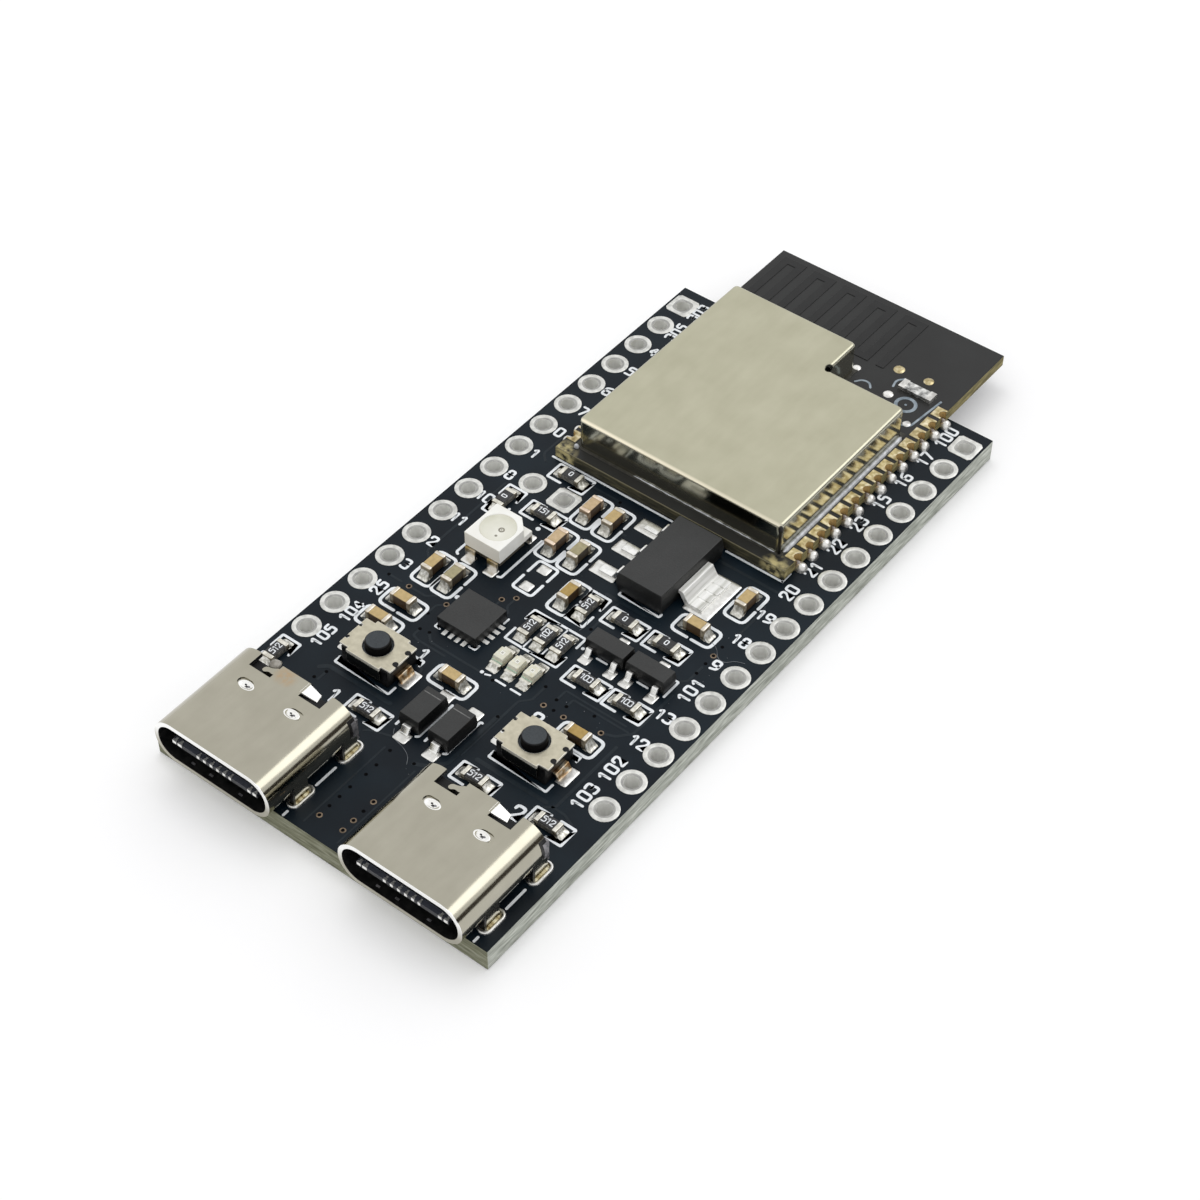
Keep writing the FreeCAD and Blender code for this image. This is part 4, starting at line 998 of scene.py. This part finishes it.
# Push buttons: a black moulded base between two bronze terminals, a stamped steel
# frame clipped over it, and a black plunger that presses a snap dome.
frame_steel = Finish("button_frame_steel", (2600, 4), ((0.50, 0.465, 0.36), (0.62, 0.58, 0.46)), (0.24, 0.40),
                     relief=0.01)
frame_gloss = frame_steel.times(frame_steel.now("Roughness"), frame_steel.facing("Z"))
frame_steel.set("Roughness", frame_steel.sums("ADD", frame_gloss, 0.10))
frame_steel.shaded_sides((0.085, 0.080, 0.070), 0.30, 0.75)
# A pale, less metallic band on the sides just under the top edge: a painted highlight along the rolled edge.
rolled_edge_highlight = frame_steel.times(frame_steel.rising("Z", 2.80, 2.90),
                                frame_steel.span(frame_steel.facing("Z"), 1, 0, 0.80, 0.98))
frame_steel.over(rolled_edge_highlight, (0.80, 0.77, 0.68))
frame_steel.set("Metallic", frame_steel.span(rolled_edge_highlight, 1.0, 0.3))
black_mould = moulding("button_black_mould", (0.003, 0.003, 0.0035), (0.007, 0.007, 0.008), 0.25)
plunger_black = moulding("plunger_black", (0.032, 0.038, 0.043), (0.052, 0.060, 0.067))
plunger_black.set("Specular IOR Level", plunger_black.span(plunger_black.facing("Z"), 0.03, 0.28, 0.5, 0.9))
plunger_black.shaded_sides((0.0035, 0.0035, 0.004), 0.75, 0.97)
bronze = Finish("terminal_bronze", (2600, 4), ((0.22, 0.10, 0.035), (0.50, 0.34, 0.18), (0.74, 0.68, 0.56)),
                (0.22, 0.4), 1.0, levels=(0.34, 0.50, 0.66))
spring = Finish("spring_steel", (2000, 2), ((0.45, 0.44, 0.41), (0.6, 0.59, 0.56)), 0.3, 1.0)
for k in ("1", "2"):
    dressed(f"button_{k}_base", f"button_{k}_mould", black_mould, 0.03)
    dressed(f"button_{k}_frame", f"button_{k}_steel", frame_steel, 0.06)
    dressed(f"button_{k}_plunger", f"button_{k}_cap", plunger_black, 0.03, f"button_{k}")
    dressed(f"button_{k}_terminals", f"button_{k}_feet", bronze, 0.02)
    snap = dressed(f"button_{k}_dome", f"button_{k}_snap", spring, 0)
    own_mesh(snap)
    low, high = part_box(f"button_{k}_frame")
    cx, cy, lid = (low.x + high.x) / 2 / mm, (low.y + high.y) / 2 / mm, high.z / mm
    notches = bmesh.new()
    for x, y, radius in ((1.83, -0.54, 0.19), (1.83, 0.58, 0.19), (-1.88, -0.55, 0.09), (-1.88, 0.55, 0.09)):
        post(notches, cx + x, cy + y, 12, [(radius, lid - 0.02), (radius, lid + 0.004)])
    piece(f"button_{k}_notches", notches, black_mould)


# Sockets: each shell is one nickel-plated steel strip folded to an oval tube, with four
# legs through the board and two notches left where its springs were bent out.
def plated_steel(name, dark, light, shine, depth):
    finish = Finish(name, metal=1.0)
    drawn = finish.cloud(1500, 4, (1, 0.25, 1))
    mixed = finish.sums("ADD", finish.times(drawn, 0.4), finish.times(finish.cloud(420, 3), 0.6))
    finish.set("Base Color", finish.tones(mixed, (0.32, 0.68), (dark, light)))
    finish.set("Roughness", finish.span(mixed, shine, shine + 0.10))
    finish.uneven(drawn, depth)
    return finish


socket_nickel = plated_steel("socket_nickel", (0.385, 0.366, 0.298), (0.440, 0.421, 0.346), 0.085, 0.002)
stain = socket_nickel.times(socket_nickel.patch((-7.45, -24.70, 4.8), 0.9),
                            socket_nickel.span(socket_nickel.cloud(2200, 3), 0.2, 1.6, 0.3, 0.7))
socket_nickel.over(stain, (0.47, 0.33, 0.19))
# The front rim of the mouth is painted near-white: a painted highlight.
mouth_rim_highlight = socket_nickel.times(socket_nickel.below("Y", -31.575), socket_nickel.rising("Z", 2.6, 3.9))
socket_nickel.over(mouth_rim_highlight, (0.97, 0.97, 0.95))
contact_gold = Finish("contact_gold", (3000, 3), ((0.78, 0.66, 0.42), (0.92, 0.84, 0.64)), (0.2, 0.34), 1.0)
# A near-white finish laid on the flap, the dimple rims and the contact tips: painted highlights.
painted_glint = Finish("painted_glint_white", (3000, 3), ((0.86, 0.85, 0.82), (0.96, 0.96, 0.94)), 0.35, 0.7)
# bore_shade is near-black, laid where shade falls: inside the sleeve, beside the legs, in the dimples and in
# the can's corner seam.
bore_shade = Finish("bore_shade_black", (2400, 3), ((0.010, 0.010, 0.011), (0.035, 0.034, 0.033)), 0.3, 0.6)
# A dull grey: painted shade at the rear corner, painted reflections in the dimples and painted glints on the
# floor inside the mouth.
half_lit_grey = Finish("half_lit_grey", (5000, 3), ((0.10, 0.10, 0.11), (0.30, 0.29, 0.30)), 0.4, 0.5)
tongue_grey = moulding("tongue_grey", (0.050, 0.055, 0.072), (0.085, 0.092, 0.115))
trim_finishes = [socket_nickel, painted_glint, bore_shade, half_lit_grey, tongue_grey]
bright, dark, half_lit, tongue = 1, 2, 3, 4

socket_floor = 1.64
socket_middle = 3.22
fold_radius = 1.5
hook_line = ((-1.08, -0.24), (-1.45, -0.52), (-1.86, -0.60), (-1.95, -0.92),
             (-1.70, -1.02), (-1.50, -0.82), (-1.08, -0.88))
leg_rears = (-0.60, -4.78)
pad_columns = ((-3.12, 0.14), (-2.70, 0.16), (-1.25, 0.10), (-0.75, 0.10), (-0.23, 0.10), (0.28, 0.10),
               (0.78, 0.10), (1.24, 0.09), (2.72, 0.12), (3.14, 0.13))


def oval(x, y, half_long, half_wide, sides=20):
    return [(x + half_long * a, y + half_wide * b) for a, b in circle(0, 0, 1, sides)]


def side_band(bm, fold, y0, y1, start, end, index, radius=1.54):
    """A thin band laid on the sleeve's rounded side, from one angle to another, in the finish of its index:
    painted shade where the side looks cut.
    """
    rings = []
    for step in range(6):
        turn = math.radians(start + (end - start) * step / 5)
        level = fold[1] if turn > 0 else socket_floor + fold_radius
        rings.append([(fold[0] + r * math.cos(turn), y, level + r * math.sin(turn))
                      for r, y in ((1.40, y0), (radius, y0), (radius, y1), (1.40, y1))])
    stack(bm, rings, index)


def dimple(bm, x, y, top):
    """A spring dimple: a dished rim and its floor, both painted near-white as highlights, and dark and grey
    specks painted in as reflections.
    """
    rim = [(0.98, -0.10), (1.0, -0.01), (0.93, 0.010), (0.80, 0.004), (0.66, -0.05)]
    stack(bm, [flat_ring(oval(x, y, 0.56 * share, 0.34 * share), top + z) for share, z in rim], bright)
    stack(bm, [flat_ring(oval(x + 0.03, y - 0.02, half_long, half_wide), top + z)
               for half_long, half_wide, z in ((0.30, 0.17, -0.06), (0.24, 0.13, -0.044))], bright)
    for u, v, size, index in ((-0.08, 0.05, 0.06, dark), (0.06, -0.03, 0.055, dark),
                              (0.0, -0.09, 0.035, dark), (0.17, 0.02, 0.07, half_lit), (0.12, -0.09, 0.05, half_lit)):
        slab(bm, oval(x + u, y + v, size * 1.4, size, 9), top - 0.05, top - 0.036, index)


for k in ("1", "2"):
    low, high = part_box(f"usb_{k}_shell")
    cx, rear, mouth = (low.x + high.x) / 2 / mm, high.y / mm, low.y / mm
    half, top = (high.x - low.x) / 2 / mm, high.z / mm
    fold = (cx + half - fold_radius, top - fold_radius)
    shell = dressed(f"usb_{k}_shell", f"usb_{k}_sleeve", [socket_nickel, bore_shade], 0.05,
                    rounds=3, angle=50)
    # Faces that look in towards the sleeve's axis take bore_shade: painted shade inside the sleeve.
    axis = Vector((cx * mm, 0, socket_middle * mm))
    for face in shell.data.polygons:
        out = face.center - axis
        out.y = 0
        if out.dot(face.normal) < 0 and abs(face.normal.y) < 0.5:
            face.material_index = 1
    dressed(f"usb_{k}_insulator", f"usb_{k}_mould", black_mould, 0.04)
    clad(f"usb_{k}_plate", spring)
    clad(f"usb_{k}_contacts", contact_gold)
    trims = bmesh.new()
    hook = rounded([(cx + u, rear + v) for u, v in hook_line], 0.16, True)
    slab(trims, hook, top - 0.28, top - 0.003)
    # The bent flap takes the near-white finish: a painted highlight.
    flap = [(cx + u, rear + v, top + z) for u, v, z in ((0.98, -0.04, 0.004), (0.98, -0.86, 0.004),
                                                        (2.12, -0.66, -0.32), (1.97, -0.12, -0.32))]
    stack(trims, [[(x, y, z - 0.12) for x, y, z in flap], flap], bright)
    for side in (-1, 1):
        dimple(trims, cx + side * 1.76, rear - 2.40, top)
    # At the rear corner, grey plates and a grey band over a dark one: painted shade standing in for the
    # cut-away side and the inner wall seen through it.
    brick(trims, (cx + 3.62, rear - 0.03, 2.10), (cx + 4.34, rear + 0.26, 3.62), half_lit)
    brick(trims, (cx + 4.02, rear - 0.02, 3.30), (cx + 4.40, rear + 0.20, 3.86), half_lit)
    side_band(trims, fold, rear - 0.52, rear - 0.01, -24, 34, dark)
    side_band(trims, fold, rear - 0.36, rear + 0.01, -14, 24, half_lit, 1.57)
    # Beside each leg, dark bands and a dark plate on the side: painted shade where the wall meets the leg.
    for leg in leg_rears:
        side_band(trims, fold, rear + leg - 0.86, rear + leg - 0.56, -80, -14, dark)
        side_band(trims, fold, rear + leg - 1.08, rear + leg - 0.86, -80, -42, dark)
        brick(trims, (cx + 3.86, rear + leg - 0.72, 1.66), (cx + 4.46, rear + leg - 0.50, 3.05), dark)
    brick(trims, (cx - 3.32, mouth + 0.24, 2.94), (cx + 3.32, mouth + 0.62, 3.24), tongue)
    # Near-white bricks on the contacts at the front of the tongue: painted glints.
    for u, pad in pad_columns:
        brick(trims, (cx + u - pad, mouth + 0.20, 3.05), (cx + u + pad, mouth + 0.34, 3.27), bright)
        brick(trims, (cx + u - pad * 0.6, mouth + 0.30, 3.20), (cx + u + pad * 0.6, mouth + 0.52, 3.26),
              bright)
    # Three grey specks on the shaded floor just inside the mouth: painted glints.
    for u in (-1.9, -0.5, 1.8):
        brick(trims, (cx + u - 0.16, mouth + 0.30, 1.95), (cx + u + 0.10, mouth + 0.42, 2.00), half_lit)
    piece(f"usb_{k}_trims", trims, trim_finishes)

collars = bmesh.new()
for low, high in islands("usb_solder"):
    profile = ((0.0, 0.0), (0.01, 0.07), (0.05, 0.13), (0.12, 0.15), (0.19, 0.13), (0.24, 0.07), (0.26, 0.05))
    rings = [inset_ring(low, high, inset, 0.49 - inset, low.z + rise, 5) for inset, rise in profile]
    stack(collars, rings)
    collars.faces.ensure_lookup_table()
    for face in [collars.faces[-1]] + collars.faces[-2 - 2 * len(rings[0]):-2]:
        face.material_index = 1
ring_tin = tinned("ring_tin", 0.24, depth=0.02)
brass_wash = Finish("brass_wash", (3200, 3), ((0.12, 0.070, 0.022), (0.48, 0.42, 0.26), (0.82, 0.79, 0.65)),
                    (0.25, 0.4), 0.8, levels=(0.32, 0.46, 0.62))
piece("socket_leg_rings", collars, [ring_tin, brass_wash], ["usb_solder"])

flux = bmesh.new()
sag = random.Random(3)
blob = [flat_ring(circle(-8.67, -24.36, size, 12), z)
        for z, size in ((4.42, 0.20), (4.55, 0.33), (4.70, 0.38), (4.80, 0.30), (4.86, 0.14))]
stack(flux, [[(x + sag.uniform(-0.03, 0.03), y + sag.uniform(-0.03, 0.03), z) for x, y, z in ring]
             for ring in blob])
flux_resin = Finish("flux_resin", (2600, 3), ((0.10, 0.085, 0.060), (0.36, 0.34, 0.30)), 0.2)
piece("flux_drop", flux, flux_resin, smooth=80)


# Radio module board: a thinner laminate, milled from a panel so that its plated holes
# are cut in half along both long edges. Its lands are gold, soldered to the carrier.
module_laminate = laminate(
    "module_laminate", "module_board", 9.0, 0.1,
    mask=((0.0130, 0.0130, 0.0130), (0.0185, 0.0190, 0.0190)),
    edge=((0.10, 0.085, 0.035), (0.20, 0.170, 0.070), (0.34, 0.290, 0.130)),
    near_edge=((0.022, 0.021, 0.013), (0.045, 0.042, 0.024), (0.110, 0.098, 0.050)),
    levels=(0.30, 0.52, 0.74), plating=(0.60, 0.44, 0.20), shine=0.30,
)
# At the two near corners the laminate is painted a paler, mottled gold: painted light shining through the
# laminate, and its highlight.
for x in (-8.35, 8.35):
    lit_corner_mottle = module_laminate.span(module_laminate.cloud(2000, 3), 0.0, 1.9, 0.38, 0.62)
    lit_corner = module_laminate.times(module_laminate.patch((x, 1.85, 2.10), 1.25), lit_corner_mottle)
    module_laminate.over(lit_corner, (0.50, 0.43, 0.21))
rim_line = module_laminate.times(module_laminate.below("Y", 1.96),
                                 module_laminate.rising("Z", 2.42, 2.50, 0, 0.8))
module_laminate.over(rim_line, (0.20, 0.18, 0.11))
clad("module_board", module_laminate)
gold = Finish("land_gold", (2400, 4), ((0.27, 0.205, 0.09), (0.50, 0.42, 0.235), (0.76, 0.685, 0.49)),
              (0.24, 0.4), 0.95, 0.012, levels=(0.32, 0.50, 0.68))
dressed("module_pin_lands", "module_gold_lands", gold, 0.015)


def drop(bm, x, y, aim, width, reach, height, low, index=0):
    """A rounded drop of solder from a place out towards an aim."""
    aim = Vector(aim)
    side = Vector((-aim.y, aim.x))
    rings = []
    for row in range(8):
        turn = math.pi * (row + 0.35) / 7.7
        scale = math.sin(turn) ** 0.6
        centre = Vector((x, y)) + aim * reach * (1 - math.cos(turn)) / 2
        ring = []
        for step in range(9):
            arc = math.pi * step / 8
            point = centre + side * (width / 2 * scale * math.cos(arc))
            ring.append((point.x, point.y, low + height * scale * math.sin(arc) ** 0.8))
        rings.append(ring)
    stack(bm, rings, index)


def grey_solder(name, dark, light, rough=(0.24, 0.42), metal=0.9):
    return Finish(name, (2600, 4), (dark, light), rough, metal, 0.03, levels=(0.32, 0.66))


joint_solder = grey_solder("joint_solder", (0.50, 0.49, 0.47), (0.90, 0.89, 0.86))
# The neck between each gold land and its drop is a far darker copy of the solder: real solder, painted shade
# in the gap of the half-hole.
shaded_neck_solder = grey_solder("shaded_neck_solder", (0.14, 0.12, 0.11), (0.32, 0.29, 0.26))
speckled = grey_solder("speckled_tin", (0.10, 0.10, 0.10), (0.82, 0.82, 0.80))
neck = 1
first_pin, pin_pitch = 3.455, 1.27
lumps = bmesh.new()
dice = random.Random(11)
for k in range(14):
    y = first_pin + pin_pitch * k
    for x, aim in ((9.1, 1), (-8.9, -1)):
        solder_slope(lumps, x - aim * 0.7, y, (aim, 0), 0.74, 1.1, 0.095, 0.09, neck)
        drop(lumps, x - aim * 0.42, y, (aim, 0), 0.50, 0.70, 0.60, board_top, neck)
        drop(lumps, x - aim * 0.17, y + dice.uniform(-0.04, 0.04), (aim, 0), dice.uniform(0.70, 0.78),
             dice.uniform(0.70, 0.80), dice.uniform(0.48, 0.56), board_top)
brick(lumps, (-1.9, 7.8, 1.6), (2.1, 11.8, 1.7))
piece("module_joints", lumps, [joint_solder, shaded_neck_solder], ["module_solder"], smooth=60)

module_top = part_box("module_board")[1].z / mm
end_parts = bmesh.new()
for x, y, radius, index in ((4.35, 21.92, 0.40, 0), (6.55, 22.12, 0.36, 0), (2.03, 20.3, 0.30, 1),
                            (5.12, 19.42, 0.36, 1), (7.65, 17.75, 0.30, 1)):
    dome = [(1.0, -0.002), (0.95, 0.02), (0.7, 0.06), (0.35, 0.085)]
    post(end_parts, x, y, 16, [(radius * share, module_top + z) for share, z in dome], index)
brick(end_parts, (5.45, 20.30, module_top), (7.65, 21.10, module_top + 0.26), 2)
for x0, x1 in ((5.30, 5.72), (7.38, 7.80)):
    brick(end_parts, (x0, 20.27, module_top), (x1, 21.13, module_top + 0.30), 1)
piece("module_end_parts", end_parts, [gold, joint_solder, speckled], smooth=60)
faint_ink = Finish("faint_ink", (1800, 4), ((0.13, 0.17, 0.21), (0.36, 0.42, 0.47)), 0.55)
module_ink = bmesh.new()
ink_top = module_top + 0.012
hoop(module_ink, 6.6, 19.25, 28, [(0.54, module_top), (0.54, ink_top), (0.78, ink_top), (0.78, module_top)])
post(module_ink, 6.6, 19.25, 10, [(0.09, module_top), (0.09, ink_top)])
for line in ([(4.95, 20.25), (4.78, 20.9), (5.2, 21.35)], [(8.28, 20.9), (7.95, 17.6), (7.4, 17.45)],
             [(2.7, 19.1), (3.0, 19.55), (3.55, 19.6), (3.85, 19.2)]):
    ribbon(module_ink, rounded(line, 0.3), 0.15, module_top, ink_top)
piece("module_print", module_ink, faint_ink)


# Shield can: one champagne-coloured nickel silver sheet, folded down on every side and
# soldered along its foot. One corner is stepped back, with a relief hole at the turn.
can_sheet = plated_steel("can_nickel_silver", (0.455, 0.440, 0.325), (0.515, 0.500, 0.378), 0.26, 0.004)
side_gloss = 0.13
can_gloss = can_sheet.times(can_sheet.sums("SUBTRACT", can_sheet.now("Roughness"), side_gloss),
                            can_sheet.sums("POWER", can_sheet.facing("Z"), 0.35))
can_sheet.set("Roughness", can_sheet.sums("ADD", can_gloss, side_gloss))
can_sheet.shaded_sides((0.42, 0.41, 0.33), 0.80, 0.99)
# A pale gold line along the near top edge, fading towards +X: a painted highlight.
top_edge_band = can_sheet.times(can_sheet.rising("Y", 3.00, 3.14, 1, 0), can_sheet.rising("Z", 4.70, 4.80))
edge_highlight = can_sheet.times(top_edge_band, can_sheet.rising("X", -6.5, 5.0, 1.0, 0.6))
can_sheet.over(edge_highlight, (0.98, 0.90, 0.70))
# A near-black round patch about the relief hole, wider than the hole: painted shade.
can_sheet.over(can_sheet.times(can_sheet.patch((2.08, 16.88, 4.87), 0.42), 4.0), (0.012, 0.012, 0.010))
# The solder along the can's foot is painted near-black: real solder, painted shade in the gap under the wall.
shaded_foot_tin = grey_solder("shaded_foot_tin", (0.030, 0.029, 0.024), (0.065, 0.062, 0.052), (0.5, 0.65), 0.45)
seam_tin = grey_solder("seam_tin", (0.38, 0.39, 0.41), (0.72, 0.74, 0.78), (0.5, 0.65), 0.45)
dressed("shield_can", "folded_can", can_sheet, 0.022)
dressed("shield_can_land", "can_foot_solder", shaded_foot_tin, 0.04)


def bead(bm, line, radius, low, wobble):
    """A rounded seam of solder along a line, a little uneven."""
    line = [Vector(point) for point in line]
    last = len(line) - 1
    rings = []
    for i, point in enumerate(line):
        along = (line[min(i + 1, last)] - line[max(i - 1, 0)]).normalized()
        side = Vector((-along.y, along.x))
        size = radius * (1 + wobble * sag.uniform(-1, 1)) * (0.3 if i in (0, last) else 1.0)
        ring = []
        for step in range(8):
            arc = math.pi * step / 7
            spot = point + side * size * math.cos(arc)
            ring.append((spot.x, spot.y, low + 1.2 * size * math.sin(arc)))
        rings.append(ring)
    stack(bm, rings)


seams = bmesh.new()
bead(seams, [(8.10, 3.2 + 0.25 * k) for k in range(54)], 0.17, module_top, 0.08)
bead(seams, [(-3.4 + 0.3 * k, 2.86 + sag.uniform(-0.015, 0.015)) for k in range(38)],
     0.045, module_top + 0.02, 0.5)
drop(seams, -7.98, 2.72, (1, 0), 0.30, 0.34, 0.26, module_top)
piece("can_foot_beads", seams, seam_tin, smooth=60)
# A near-black post in the corner seam: painted shade in the gap.
gap = bmesh.new()
post(gap, 7.94, 2.96, 12, [(0.11, 2.55), (0.11, 4.30), (0.15, 4.40), (0.16, 4.66), (0.10, 4.80)])
piece("can_corner_gap", gap, bore_shade)


# Under the can: the radio chip, its memory, a crystal in a metal case and small parts,
# all reflowed to the module board before the can went on.
clad("radio_chip", charcoal)
clad("memory_chip", charcoal)
clad("module_crystal", spring)
clad("module_small_chips", ceramics[1])


# Antenna: a copper track folded to and fro at the module's free end, under the mask.
antenna_copper = Finish("antenna_copper", (800, 3), ((0.0165, 0.0168, 0.0170), (0.0220, 0.0222, 0.0225)),
                        (0.40, 0.52), shine=0.22)
dressed("antenna_track", "folded_track", antenna_copper, 0.018)
